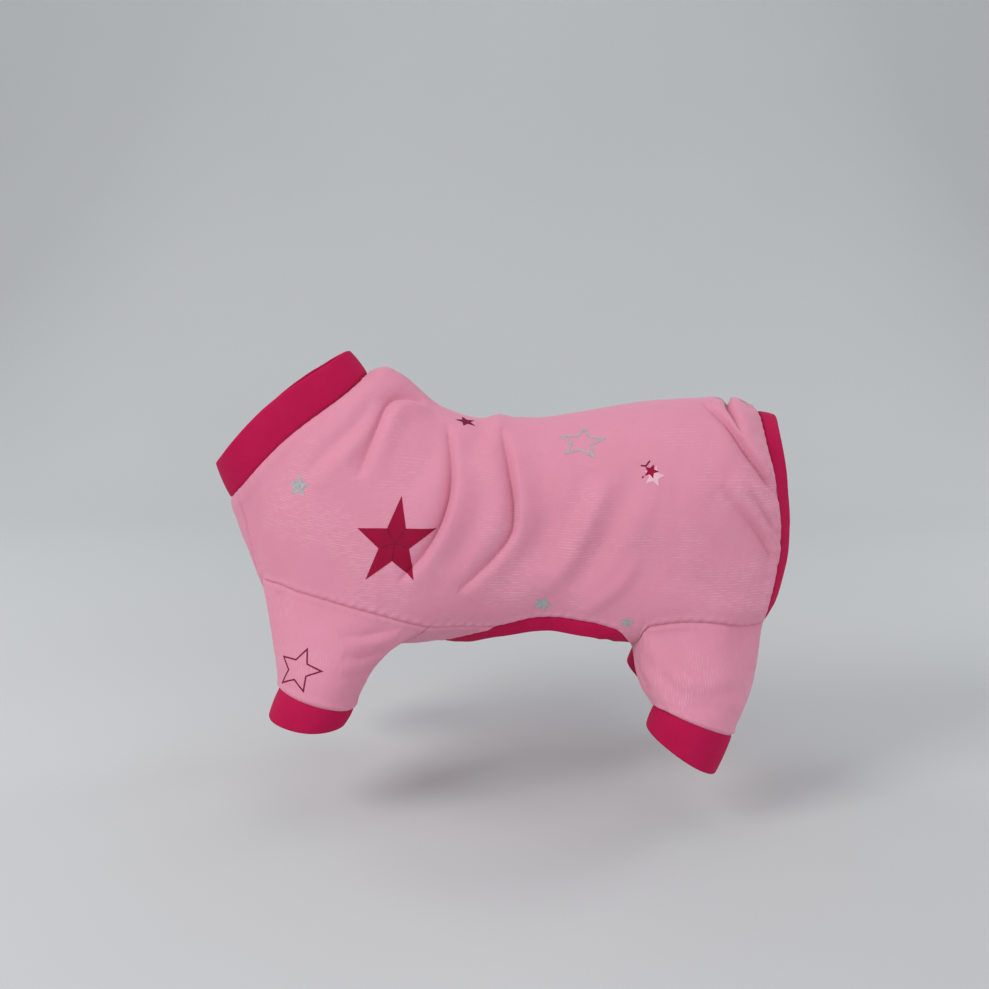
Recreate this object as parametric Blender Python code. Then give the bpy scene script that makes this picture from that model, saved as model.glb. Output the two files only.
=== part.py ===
"""A dog's jersey jumpsuit with ribbed bands, worn: four sleeves, a neck band and a bound opening for belly and tail.

Metres, +Z up, the neck towards -X, the wearer's left side towards -Y. The origin is on the inner face of the back
panel, on the midline, where the garment lies on the wearer's back.
"""
import functools
import math

import bmesh
import bpy
import numpy as np

# Driving sizes
BODY_LENGTH = 0.250  # neck seam to tail edge, along the back
BODY_DEPTH = 0.140  # back to keel, under the chest
BODY_WIDTH = 0.116  # across the chest
JERSEY_WALL = 0.0013
RIB_WALL = 0.0020  # two layers of rib
SEAM_GAP = 0.0004  # between two pieces that are sewn together
NECK_BAND_WIDTH = 0.0180  # on the back of the neck
NECK_BAND_BOW = 0.0060  # how much wider the band is at the throat
BINDING_WIDTH = 0.0110
FRONT_CUFF_HEIGHT = 0.0155
HIND_CUFF_HEIGHT = 0.0200
FRONT_CUFF_RADIUS = 0.0236
HIND_CUFF_RADIUS = 0.0260

# Faces
BACK_COLUMNS = 28
CHEST_COLUMNS = 8
HOLE_ROWS = 12  # along either side of a sleeve's hole
END_ROWS = 5  # from the neck to the front hole, and from there to the side seam's end
BELLY_ROWS = 10
SLEEVE_ROWS = 6
CUFF_ROWS = 2
NECK_SIDES = 32
NECK_ROWS = 2
GIRTH_SAMPLES = 120
FOLD_SAMPLES = 31
NORMAL_STEP = 0.01  # the share to either side over which the torso's direction is taken
SHARP_ANGLE = math.radians(40)

# Girth sections from the neck seam to the tail edge. x is a share of BODY_LENGTH, z of BODY_DEPTH and side_y of
# half of BODY_WIDTH. upper and lower are the powers of the two rounded quarters, 2 for an ellipse and more for a
# boxier one. flare widens the lower quarter and bow carries the middle of the section towards the tail.
SECTION_COLUMNS = ("along", "back_x", "back_z", "keel_x", "keel_z", "side_y", "upper", "lower", "flare", "bow")
SECTIONS = (
    (0.00, -0.520, 0.195, -0.875, -0.37, 0.60, 2.0, 2.0, 0.00, -0.026),
    (0.03, -0.480, 0.228, -0.855, -0.50, 0.68, 2.0, 2.0, 0.00, -0.020),
    (0.07, -0.440, 0.200, -0.830, -0.63, 0.78, 2.0, 2.2, 0.00, -0.012),
    (0.12, -0.400, 0.142, -0.800, -0.76, 0.86, 2.0, 2.5, 0.02, -0.005),
    (0.18, -0.350, 0.06, -0.750, -0.90, 0.93, 2.0, 3.0, 0.05, 0.000),
    (0.25, -0.290, 0.01, -0.655, -0.98, 0.98, 2.0, 3.8, 0.08, 0.000),
    (0.33, -0.225, -0.01, -0.520, -1.01, 1.00, 2.0, 3.8, 0.08, 0.000),
    (0.41, -0.155, -0.01, -0.385, -1.01, 0.98, 2.0, 3.2, 0.04, 0.000),
    (0.50, -0.075, -0.01, -0.240, -1.00, 0.96, 2.0, 2.8, 0.00, 0.000),
    (0.60, 0.020, 0.015, -0.080, -0.98, 0.95, 2.0, 2.8, 0.00, 0.000),
    (0.70, 0.120, 0.05, 0.065, -1.00, 0.97, 2.1, 3.6, 0.05, 0.000),
    (0.79, 0.220, 0.07, 0.200, -0.99, 0.99, 2.2, 4.5, 0.08, 0.000),
    (0.87, 0.305, 0.08, 0.315, -0.96, 0.98, 2.2, 5.0, 0.10, 0.002),
    (0.94, 0.385, 0.08, 0.410, -0.93, 0.92, 2.2, 5.0, 0.12, 0.010),
    (0.98, 0.435, 0.06, 0.462, -0.91, 0.82, 2.1, 5.0, 0.14, 0.020),
    (1.00, 0.465, 0.02, 0.488, -0.90, 0.73, 2.0, 5.0, 0.15, 0.026),
)

# Where the back panel ends on either side, as shares along the torso and around half its girth: down the neck,
# over the front sleeve, down the side, along the belly, up and over the hind sleeve, and down to the tail edge.
BACK_EDGE = (
    (0.00, 0.84),
    (0.06, 0.86),
    (0.115, 0.845),
    (0.145, 0.77),
    (0.18, 0.715),
    (0.25, 0.670),
    (0.32, 0.680),
    (0.37, 0.710),
    (0.405, 0.738),
    (0.46, 0.760),
    (0.52, 0.775),
    (0.57, 0.755),
    (0.64, 0.740),
    (0.70, 0.738),
    (0.733, 0.765),
    (0.749, 0.815),
    (0.754, 0.838),
    (0.759, 0.800),
    (0.764, 0.755),
    (0.770, 0.733),
    (0.785, 0.722),
    (0.805, 0.716),
    (0.84, 0.713),
    (0.90, 0.730),
    (0.96, 0.775),
    (1.00, 0.800),
)
FRONT_HOLE = (0.115, 0.405)  # the front sleeve's hole, along the torso
HIND_HOLE = (0.754, 1.00)
FRONT_HOLE_DEPTH = 0.10  # around the torso, from the line between the ends of the hole to its inner edge
HIND_HOLE_DEPTH = 0.05
HOLE_ROUNDNESS = 0.7  # the power of a hole's inner edge, lower for rounder ends
THIGH_CLIMB = 0.02  # along the torso, where the back panel's edge climbs from the belly over the thigh
SIDE_SEAM_END = 0.52  # where the opening for belly and tail starts
CHEST_SCOOP = 0.20  # how far the chest panel's end curves back towards the neck on the midline
TAIL_SCOOP = 0.025  # how far the tail edge curves in beside the thighs
TAIL_SCOOP_FROM = 0.55  # around half the girth
TAIL_SCOOP_POWER = 8  # the scoop dies away this fast from the tail edge towards the neck

# Folds in the near side's cloth. Each runs over three places (along, around) and is a valley of a half width and a
# depth with a crest beside it towards the tail, in metres. A depth below 0 is a ridge.
FOLD_COLUMNS = ("from_u", "from_g", "by_u", "by_g", "to_u", "to_g", "half_width", "depth", "crest")
FOLDS = (
    (0.010, 0.28, 0.028, 0.43, 0.045, 0.56, 0.006, 0.0015, 0.0010),
    (0.075, 0.02, 0.092, 0.26, 0.130, 0.42, 0.007, 0.0030, 0.0015),
    (0.110, -0.10, 0.118, 0.03, 0.150, 0.15, 0.006, 0.0035, 0.0025),
    (0.235, 0.08, 0.335, 0.34, 0.338, 0.54, 0.005, 0.0040, 0.0025),
    (0.335, 0.15, 0.398, 0.36, 0.390, 0.54, 0.007, 0.0020, 0.0010),
    (0.410, 0.14, 0.485, 0.38, 0.450, 0.60, 0.005, 0.0040, 0.0025),
    (0.470, 0.12, 0.532, 0.42, 0.480, 0.63, 0.009, 0.0025, 0.0008),
    (0.620, 0.33, 0.600, 0.44, 0.578, 0.57, 0.006, 0.0020, 0.0028),
    (0.710, 0.27, 0.680, 0.46, 0.622, 0.64, 0.007, 0.0025, 0.0010),
    (0.735, 0.55, 0.700, 0.65, 0.645, 0.73, 0.005, -0.0015, 0.0000),
    (0.890, 0.08, 0.945, 0.21, 1.000, 0.34, 0.004, 0.0035, 0.0020),
    (0.925, -0.05, 0.935, 0.07, 0.948, 0.18, 0.004, 0.0020, 0.0010),
    (0.965, 0.36, 0.992, 0.43, 1.000, 0.50, 0.005, 0.0025, 0.0000),
    (0.920, 0.39, 0.968, 0.46, 1.000, 0.58, 0.007, 0.0020, 0.0020),
)
CREST_AWAY = 1.6  # the crest's distance from its valley and its width, in half widths
CREST_WIDTH = 1.1
FOLD_FADE = 0.6  # the power by which a fold dies away at its ends
FAR_SIDE_SHIFT = 0.015  # along the torso, of the folds on the wearer's right side
FAR_SIDE_STRENGTH = 0.85
FAR_SIDE_BLEND = 0.2  # around half the girth, where the two sides' folds pass into each other over the back

# Each leg's cuff. The centre of its seam is a share (x of BODY_LENGTH, y of half of BODY_WIDTH, z of BODY_DEPTH).
# pitch lifts the front of a ring and splay its outer side, in degrees. lean carries the cuff's free edge towards
# the neck and spread carries it outwards.
LEG_COLUMNS = ("x", "y", "z", "seam_pitch", "seam_splay", "free_pitch", "free_splay", "lean", "spread", "widening")
FRONT_LEG = (-0.637, 0.95, -1.185, 18, 5, 8, -2, 26, 8, 1.00)
HIND_LEG = (0.291, 0.98, -1.290, 22, 12, 34, 3, 23, 7, 1.00)

# How a sleeve leaves its hole and meets its cuff, at four turns about the leg (0 is its front, 90 its outer side).
# Each is added to the straight line between the two, as a share of its length.
SLEEVE_COLUMNS = ("turn", "leave_x", "leave_out", "leave_z", "meet_x", "meet_out", "meet_z")
FRONT_SLEEVE = (
    (0, 0.05, 0.00, 0.00, -0.15, 0.00, 0.00),
    (90, 0.05, -0.22, -0.05, 0.00, -0.10, 0.00),
    (180, -0.50, 0.05, 0.32, 0.55, 0.00, -0.15),
    (270, 0.00, 0.20, -0.05, 0.00, 0.10, 0.00),
)
HIND_SLEEVE = (
    (0, -0.22, -0.15, -0.20, 0.30, 0.05, 0.25),
    (90, 0.00, -0.30, -0.05, 0.00, -0.12, 0.00),
    (180, 0.10, -0.05, -0.05, -0.08, 0.00, 0.00),
    (270, 0.00, 0.15, -0.05, 0.00, 0.10, 0.00),
)
BILLOW = 0.22  # how far a sleeve is drawn in where it meets its cuff, as a share of its length
SEAM_REACH = 0.25  # the share of a sleeve over which its wall turns from the torso's to its own

# How the bands stand, in degrees: the neck band forward of upright, and the binding inward of the cloth
NECK_LEAN_TOP = 35
NECK_LEAN_KEEL = 22
NECK_DRAW = 0.04  # how far the neck band's free edge is drawn in at its sides, as a share of its width there
NECK_WIDENING = 3  # the power by which the band gains its full width over the sides of the neck
BELLY_CURL = -12
THIGH_CURL = 40
TAIL_CURL_TOP = 5
TAIL_CURL_SIDE = 36
TAIL_CURL_TURN = (0.15, 0.45)  # around half the girth, from the one to the other
BINDING_SMOOTHING = 3
BINDING_AIM = 0.94  # along the torso, where the cloth points the way that the binding over the tail runs

PINK = (0.69, 0.27, 0.38)
MAGENTA = (0.44, 0.010, 0.060)
JERSEY_ROUGHNESS = 0.85
RIB_ROUGHNESS = 0.75


def read_between(knots, values, at):
    """A smooth curve through (knots, values), read at the places given."""
    knots = np.asarray(knots, float)
    values = np.asarray(values, float)
    slopes = np.gradient(values, knots, axis=0)
    at = np.clip(np.asarray(at, float), knots[0], knots[-1])
    k = np.clip(np.searchsorted(knots, at, side="right") - 1, 0, len(knots) - 2)
    span = knots[k + 1] - knots[k]
    f = (at - knots[k]) / span
    if values.ndim > 1:
        f = f[..., None]
        span = span[..., None]
    return (
        (2 * f**3 - 3 * f**2 + 1) * values[k]
        + (f**3 - 2 * f**2 + f) * span * slopes[k]
        + (3 * f**2 - 2 * f**3) * values[k + 1]
        + (f**3 - f**2) * span * slopes[k + 1]
    )


def unit(vectors):
    return vectors / np.linalg.norm(vectors, axis=-1, keepdims=True)


def smooth_step(share):
    share = np.clip(share, 0, 1)
    return share * share * (3 - 2 * share)


def section_at(u):
    """The named sizes of the girth section at u, in metres."""
    table = np.array(SECTIONS)
    row = dict(zip(SECTION_COLUMNS, read_between(table[:, 0], table, np.array(u))))
    for name in ("back_x", "keel_x", "bow"):
        row[name] *= BODY_LENGTH
    for name in ("back_z", "keel_z"):
        row[name] *= BODY_DEPTH
    row["side_y"] *= BODY_WIDTH / 2
    return row


@functools.lru_cache(maxsize=None)
def half_girth(u):
    """Half a girth section from the back to the keel: the shares of its length, its points at +Y and its length."""
    s = section_at(u)
    turn = np.linspace(0, math.pi / 2, GIRTH_SAMPLES)
    side_z = (s["back_z"] + s["keel_z"]) / 2
    upper_y = s["side_y"] * np.sin(turn) ** (2 / s["upper"])
    upper_z = side_z + (s["back_z"] - side_z) * np.cos(turn) ** (2 / s["upper"])
    drop = np.sin(turn) ** (2 / s["lower"])
    lower_y = s["side_y"] * np.maximum(np.cos(turn), 0) ** (2 / s["lower"]) * (1 + s["flare"] * drop**2)
    lower_z = side_z - (side_z - s["keel_z"]) * drop
    y = np.concatenate([upper_y, lower_y[1:]])
    z = np.concatenate([upper_z, lower_z[1:]])
    down = (s["back_z"] - z) / (s["back_z"] - s["keel_z"])
    x = s["back_x"] + (s["keel_x"] - s["back_x"]) * down + s["bow"] * np.sin(math.pi * down) ** 2
    points = np.stack([x, y, z], axis=-1)
    run = np.concatenate([[0], np.cumsum(np.linalg.norm(np.diff(points, axis=0), axis=1))])
    return run / run[-1], points, run[-1]


def smooth_torso(u, g):
    """Points of the garment's outer face without its folds. g is the share of the half girth from the back, and
    below 0 on the wearer's left."""
    u, g = np.broadcast_arrays(np.asarray(u, float), np.asarray(g, float))
    out = np.empty(u.shape + (3,))
    rounded = np.round(u, 6)
    for station in np.unique(rounded):
        here = rounded == station
        shares, points, _ = half_girth(float(station))
        for axis in range(3):
            out[here, axis] = np.interp(np.abs(g[here]), shares, points[:, axis])
        out[here, 1] *= np.sign(g[here])
    return out


def torso_normal(u, g):
    """The outward direction of the smooth torso."""
    step = NORMAL_STEP
    u, g = np.broadcast_arrays(np.asarray(u, float), np.asarray(g, float))
    along = smooth_torso(np.minimum(u + step, 1), g) - smooth_torso(np.maximum(u - step, 0), g)
    around = smooth_torso(u, np.minimum(g + step, 1)) - smooth_torso(u, np.maximum(g - step, -1))
    return unit(np.cross(along, around))


def through(start, middle, end, share):
    """A bent line from start to end by way of middle."""
    pull = 2 * middle - (start + end) / 2
    return (1 - share) ** 2 * start + 2 * share * (1 - share) * pull + share**2 * end


def fold_height(u, g):
    """How far the folds lift the cloth off the smooth torso."""
    u, g = np.broadcast_arrays(np.asarray(u, float), np.asarray(g, float))
    far = smooth_step(g / FAR_SIDE_BLEND + 0.5)
    u = u - FAR_SIDE_SHIFT * far
    points = smooth_torso(u, np.abs(g))
    height = np.zeros(u.shape)
    share = np.linspace(0, 1, FOLD_SAMPLES)
    for row in FOLDS:
        fold = dict(zip(FOLD_COLUMNS, row))
        line_u = through(fold["from_u"], fold["by_u"], fold["to_u"], share)
        line_g = through(fold["from_g"], fold["by_g"], fold["to_g"], share)
        line = smooth_torso(line_u, line_g)
        apart = np.linalg.norm(points[..., None, :] - line, axis=-1)
        nearest = apart.argmin(axis=-1)
        away = apart.min(axis=-1) * np.sign(u - line_u[nearest]) / fold["half_width"]
        fade = np.sin(math.pi * share[nearest]) ** FOLD_FADE
        height -= fold["depth"] * fade * np.exp(-(away**2))
        height += fold["crest"] * fade * np.exp(-(((away - CREST_AWAY) / CREST_WIDTH) ** 2))
    return height * (1 - (1 - FAR_SIDE_STRENGTH) * far)


def torso(u, g):
    """Points of the garment's outer face."""
    return smooth_torso(u, g) + fold_height(u, g)[..., None] * torso_normal(u, g)


def back_edge(u):
    table = np.array(BACK_EDGE)
    return read_between(table[:, 0], table[:, 1], u)


def inner_edge(u, hole, depth):
    """Where the cloth between the legs ends: at the back panel's edge, and lower beside a sleeve's hole."""
    share = np.clip((u - hole[0]) / (hole[1] - hole[0]), 0, 1)
    ends = back_edge(np.array(hole))
    beside = ends[0] + (ends[1] - ends[0]) * share + depth * np.sin(math.pi * share) ** HOLE_ROUNDNESS
    return np.where((share > 0) & (share < 1), beside, back_edge(u))


def tail_scoop(u, g):
    """Shares along the torso once the tail edge has curved in beside the thighs."""
    beside = smooth_step((np.abs(g) - TAIL_SCOOP_FROM) / (1 - TAIL_SCOOP_FROM))
    return u * (1 - TAIL_SCOOP * beside * u**TAIL_SCOOP_POWER)


def chest_scoop(u, across):
    return u * (1 - CHEST_SCOOP * (1 - across**2) * (u / SIDE_SEAM_END) ** 2)


def rows_between(breaks, counts):
    """Shares along the torso, evenly spaced between breaks."""
    pieces = [np.linspace(a, b, n, endpoint=False) for a, b, n in zip(breaks, breaks[1:], counts)]
    return np.concatenate(pieces + [breaks[-1:]])


def chest_rows():
    return rows_between((0, *FRONT_HOLE, SIDE_SEAM_END), (END_ROWS, HOLE_ROWS, END_ROWS))


def belly_rows():
    return np.linspace(SIDE_SEAM_END, HIND_HOLE[0], BELLY_ROWS + 1)


def hind_hole_rows():
    """Closer where the seam climbs from the belly to the thigh."""
    return rows_between((HIND_HOLE[0], HIND_HOLE[0] + THIGH_CLIMB, HIND_HOLE[1]), (2, HOLE_ROWS - 2))


def front_hole_rows():
    return np.linspace(*FRONT_HOLE, HOLE_ROWS + 1)


def grid_normals(points):
    """The directions square to a grid of points that closes on itself across."""
    down = np.gradient(points, axis=0)
    across = np.roll(points, -1, axis=1) - np.roll(points, 1, axis=1)
    normals = unit(np.cross(down, across))
    from_middle = points - points.mean(axis=1, keepdims=True)
    return normals * np.sign((normals * from_middle).sum())


def fabric(name, colour, roughness):
    material = bpy.data.materials.new(name)
    material.use_nodes = True
    shader = material.node_tree.nodes["Principled BSDF"]
    shader.inputs["Base Color"].default_value = (*colour, 1)
    shader.inputs["Roughness"].default_value = roughness
    shader.inputs["Metallic"].default_value = 0
    return material


def make_wall(name, outer, inner, colour, roughness, closed=True):
    """One piece of cloth between an outer and an inner grid of points. A closed grid joins its last column to its
    first."""
    rows, columns = outer.shape[:2]
    steps = columns if closed else columns - 1
    shape = bmesh.new()
    front, back = ([[shape.verts.new(point) for point in row] for row in grid] for grid in (outer, inner))
    for grid in (front, back):
        for r in range(rows - 1):
            for c in range(steps):
                d = (c + 1) % columns
                shape.faces.new((grid[r][c], grid[r + 1][c], grid[r + 1][d], grid[r][d]))
    for r in (0, rows - 1):
        for c in range(steps):
            d = (c + 1) % columns
            shape.faces.new((front[r][c], front[r][d], back[r][d], back[r][c]))
    if not closed:
        for c in (0, columns - 1):
            for r in range(rows - 1):
                shape.faces.new((front[r][c], front[r + 1][c], back[r + 1][c], back[r][c]))
    bmesh.ops.recalc_face_normals(shape, faces=shape.faces)
    mesh = bpy.data.meshes.new(name)
    shape.to_mesh(mesh)
    shape.free()
    mesh.shade_smooth()
    mesh.set_sharp_from_angle(angle=SHARP_ANGLE)
    mesh.materials.append(fabric(name + "_cloth", colour, roughness))
    bpy.context.scene.collection.objects.link(bpy.data.objects.new(name, mesh))


def make_back_panel():
    rows = np.concatenate([chest_rows()[:-1], belly_rows()[:-1], hind_hole_rows()])[:, None]
    g = np.linspace(-1, 1, BACK_COLUMNS + 1) * back_edge(rows)
    u = tail_scoop(rows, g)
    outer = torso(u, g)
    inner = outer - JERSEY_WALL * torso_normal(u, g)
    make_wall("back_panel", outer, inner, PINK, JERSEY_ROUGHNESS, closed=False)


def make_chest_panel():
    """The panel between the front legs, from the neck to the opening for the belly."""
    rows = chest_rows()[:, None]
    girth = np.array([[half_girth(round(float(u), 6))[2]] for u in rows[:, 0]])
    across = np.linspace(-1, 1, CHEST_COLUMNS + 1)
    edge = inner_edge(rows, FRONT_HOLE, FRONT_HOLE_DEPTH) + SEAM_GAP / girth
    g = np.where(across < 0, -1, 1) * (1 - (1 - edge) * np.abs(across))
    u = chest_scoop(rows, across)
    outer = torso(u, g)
    normals = torso_normal(u, g)
    normals[:, CHEST_COLUMNS // 2, 1] = 0
    make_wall("chest_panel", outer, outer - JERSEY_WALL * unit(normals), PINK, JERSEY_ROUGHNESS, closed=False)


def ring(centre, radius, pitch, splay, side, turn):
    """Points round a leg, at turns from its front over its outer side, and how they lie from the centre."""
    pitch, splay = math.radians(pitch), math.radians(splay)
    forward = np.array([-math.cos(pitch), 0, math.sin(pitch)])
    outward = np.array([0, side * math.cos(splay), math.sin(splay)])
    arms = np.cos(turn)[:, None] * forward + np.sin(turn)[:, None] * outward
    return centre + radius * arms, arms


def cuff_rings(row, side, radius, height, turn):
    """A cuff's seam ring and its free edge, each as points and arms."""
    leg = dict(zip(LEG_COLUMNS, row))
    centre = np.array([leg["x"] * BODY_LENGTH, side * leg["y"] * BODY_WIDTH / 2, leg["z"] * BODY_DEPTH])
    lean, spread = math.radians(leg["lean"]), math.radians(leg["spread"])
    down = unit(np.array([-math.tan(lean), side * math.tan(spread), -1]))
    seam = ring(centre, radius, leg["seam_pitch"], leg["seam_splay"], side, turn)
    free_radius = radius * leg["widening"]
    free = ring(centre + height * down, free_radius, leg["free_pitch"], leg["free_splay"], side, turn)
    return seam, free


def make_cuff(name, row, side, radius, height):
    turn = np.linspace(0, 2 * math.pi, 2 * HOLE_ROWS, endpoint=False)
    (seam, seam_arms), (free, free_arms) = cuff_rings(row, side, radius, height, turn)
    start = SEAM_GAP / height
    share = (start + (1 - start) * np.linspace(0, 1, CUFF_ROWS + 1))[:, None, None]
    outer = seam + share * (free - seam)
    inner = outer - RIB_WALL * unit(seam_arms + share * (free_arms - seam_arms))
    make_wall(name, outer, inner, MAGENTA, RIB_ROUGHNESS)


def hole_loop(rows, hole, depth):
    """A sleeve's hole as shares (u, g), from its front along its outer edge and back along its inner one."""
    back = rows[::-1][1:-1]
    u = np.concatenate([rows, back])
    g = np.concatenate([back_edge(rows), inner_edge(back, hole, depth)])
    return tail_scoop(u, g), g


def turns_of(points):
    """How far round the leg each point of a hole's loop lies. The outer and the inner edge take half a turn each."""
    steps = np.linalg.norm(np.roll(points, -1, axis=0) - points, axis=1).reshape(2, -1)
    halves = (np.cumsum(steps, axis=1) - steps) / steps.sum(axis=1, keepdims=True)
    return (math.pi * (halves + [[0], [1]])).ravel()


def make_sleeve(name, row, table, side, radius, height, rows, hole, depth):
    u, g = hole_loop(rows, hole, depth)
    start = torso(u, side * g)
    turn = turns_of(start)
    (end, arms), _ = cuff_rings(row, side, radius, height, turn)
    straight = end - start
    length = np.linalg.norm(straight, axis=1, keepdims=True)
    whole_turn = np.array(table + ((360, *table[0][1:]),), float)
    pulls = read_between(np.radians(whole_turn[:, 0]), whole_turn[:, 1:], turn) * length
    sides = np.array([1, side, 1])
    leave = straight + pulls[:, :3] * sides
    meet = straight + pulls[:, 3:] * sides - BILLOW * length * arms
    first = SEAM_GAP / np.linalg.norm(leave, axis=1)[None, :, None]
    v = first + (1 - first) * np.linspace(0, 1, SLEEVE_ROWS + 1)[:, None, None]
    outer = (
        (2 * v**3 - 3 * v**2 + 1) * start
        + (v**3 - 2 * v**2 + v) * leave
        + (3 * v**2 - 2 * v**3) * end
        + (v**3 - v**2) * meet
    )
    from_torso = smooth_step(1 + 2 * np.sin(turn))[:, None] * (1 - smooth_step(v / SEAM_REACH))
    normals = unit(from_torso * torso_normal(u, side * g) + (1 - from_torso) * grid_normals(outer))
    make_wall(name, outer, outer - JERSEY_WALL * normals, PINK, JERSEY_ROUGHNESS)


def make_neck_band():
    g = np.linspace(-1, 1, NECK_SIDES, endpoint=False)
    seam = torso(np.zeros(NECK_SIDES), g)
    lean = np.radians(NECK_LEAN_TOP + (NECK_LEAN_KEEL - NECK_LEAN_TOP) * np.abs(g))
    along = np.stack([-np.sin(lean), 0 * g, np.cos(lean)], axis=-1)
    middle = seam.mean(axis=0)
    wider = 1 - (1 - np.abs(g)) ** NECK_WIDENING
    reach = (NECK_BAND_WIDTH + NECK_BAND_BOW * wider)[:, None]
    start = SEAM_GAP / NECK_BAND_WIDTH
    share = (start + (1 - start) * np.linspace(0, 1, NECK_ROWS + 1))[:, None, None]
    outer = seam + share * (reach * along - NECK_DRAW * (seam - middle) * [0, 1, 0])
    make_wall("neck_band", outer, outer - RIB_WALL * grid_normals(outer), MAGENTA, RIB_ROUGHNESS)


def smooth_loop(values, passes):
    for _ in range(passes):
        values = (np.roll(values, 1, axis=0) + 2 * values + np.roll(values, -1, axis=0)) / 4
    return values


def opening_loop():
    """The edge of the opening as shares (u, g) and as how far the binding curls in there: under the chest to the
    wearer's right, back along the belly and the thigh, up over the tail, and down the left side."""
    across = np.linspace(-1, 1, CHEST_COLUMNS + 1)[:-1]
    chest_g = np.where(across < 0, -1, 1) * (1 - (1 - back_edge(SIDE_SEAM_END)) * np.abs(across))
    chest_u = chest_scoop(SIDE_SEAM_END, across)
    belly = belly_rows()
    thigh = hind_hole_rows()
    side_u = np.concatenate([belly[:-1], thigh[:-1]])
    side_g = np.concatenate([back_edge(belly[:-1]), inner_edge(thigh[:-1], HIND_HOLE, HIND_HOLE_DEPTH)])
    side_curl = np.where(side_u < HIND_HOLE[0], BELLY_CURL, THIGH_CURL)
    tail_g = np.linspace(1, -1, BACK_COLUMNS + 1) * back_edge(1)
    u = np.concatenate([chest_u, side_u, np.ones(len(tail_g)), side_u[::-1]])
    g = np.concatenate([chest_g, side_g, tail_g, -side_g[::-1]])
    turned = smooth_step((np.abs(tail_g) - TAIL_CURL_TURN[0]) / (TAIL_CURL_TURN[1] - TAIL_CURL_TURN[0]))
    tail_curl = TAIL_CURL_TOP + (TAIL_CURL_SIDE - TAIL_CURL_TOP) * turned
    curl = np.concatenate([across * 0 + BELLY_CURL, side_curl, tail_curl, side_curl[::-1]])
    return tail_scoop(u, g), g, np.radians(curl)


def make_binding():
    u, g, curl = opening_loop()
    edge = torso(u, g)
    normals = torso_normal(np.minimum(u, BINDING_AIM), g)
    tangent = np.roll(edge, -1, axis=0) - np.roll(edge, 1, axis=0)
    away = unit(smooth_loop(unit(np.cross(normals, tangent)), BINDING_SMOOTHING))
    curl = smooth_loop(curl, BINDING_SMOOTHING)[:, None]
    reach = np.cos(curl) * away - np.sin(curl) * normals
    free_normals = np.cos(curl) * normals + np.sin(curl) * away
    start = SEAM_GAP / BINDING_WIDTH
    share = np.array([start, 1])[:, None, None]
    outer = edge + share * BINDING_WIDTH * reach
    inner = outer - RIB_WALL * unit((1 - share) * normals + share * free_normals)
    make_wall("opening_binding", outer, inner, MAGENTA, RIB_ROUGHNESS)


def main():
    for old in list(bpy.data.objects):
        bpy.data.objects.remove(old)
    make_back_panel()
    make_chest_panel()
    make_neck_band()
    make_binding()
    for side, word in ((-1, "left"), (1, "right")):
        front = (side, FRONT_CUFF_RADIUS, FRONT_CUFF_HEIGHT)
        hind = (side, HIND_CUFF_RADIUS, HIND_CUFF_HEIGHT)
        front_hole = (front_hole_rows(), FRONT_HOLE, FRONT_HOLE_DEPTH)
        hind_hole = (hind_hole_rows(), HIND_HOLE, HIND_HOLE_DEPTH)
        make_sleeve("front_sleeve_" + word, FRONT_LEG, FRONT_SLEEVE, *front, *front_hole)
        make_sleeve("hind_sleeve_" + word, HIND_LEG, HIND_SLEEVE, *hind, *hind_hole)
        make_cuff("front_cuff_" + word, FRONT_LEG, *front)
        make_cuff("hind_cuff_" + word, HIND_LEG, *hind)


main()
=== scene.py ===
"""The looks of a dog's jersey jumpsuit: fine cloth with folds and seams, knit and rib, and printed stars.

Metres, +Z up, the neck towards -X, the wearer's left side towards -Y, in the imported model's own frame.
"""
import math

import bpy
import numpy as np
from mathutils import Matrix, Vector
from mathutils.bvhtree import BVHTree


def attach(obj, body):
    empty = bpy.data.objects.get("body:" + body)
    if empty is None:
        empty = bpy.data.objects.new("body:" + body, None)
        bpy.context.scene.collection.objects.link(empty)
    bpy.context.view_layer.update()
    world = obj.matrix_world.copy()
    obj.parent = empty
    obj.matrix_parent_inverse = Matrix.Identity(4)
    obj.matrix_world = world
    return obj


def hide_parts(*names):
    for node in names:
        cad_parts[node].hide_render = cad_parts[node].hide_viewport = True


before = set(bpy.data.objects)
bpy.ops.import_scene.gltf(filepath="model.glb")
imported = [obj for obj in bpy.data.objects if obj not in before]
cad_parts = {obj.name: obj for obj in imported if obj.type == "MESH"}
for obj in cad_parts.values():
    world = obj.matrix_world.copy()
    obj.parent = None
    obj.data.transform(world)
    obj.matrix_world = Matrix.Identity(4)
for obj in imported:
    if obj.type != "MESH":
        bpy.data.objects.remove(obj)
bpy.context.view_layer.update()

# The model's own sizes
BODY_LENGTH = 0.250
BODY_DEPTH = 0.140
BODY_WIDTH = 0.116
RIB_WALL = 0.0020
NECK_BAND_WIDTH = 0.0180
NECK_BAND_BOW = 0.0060
BINDING_WIDTH = 0.0110

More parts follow.
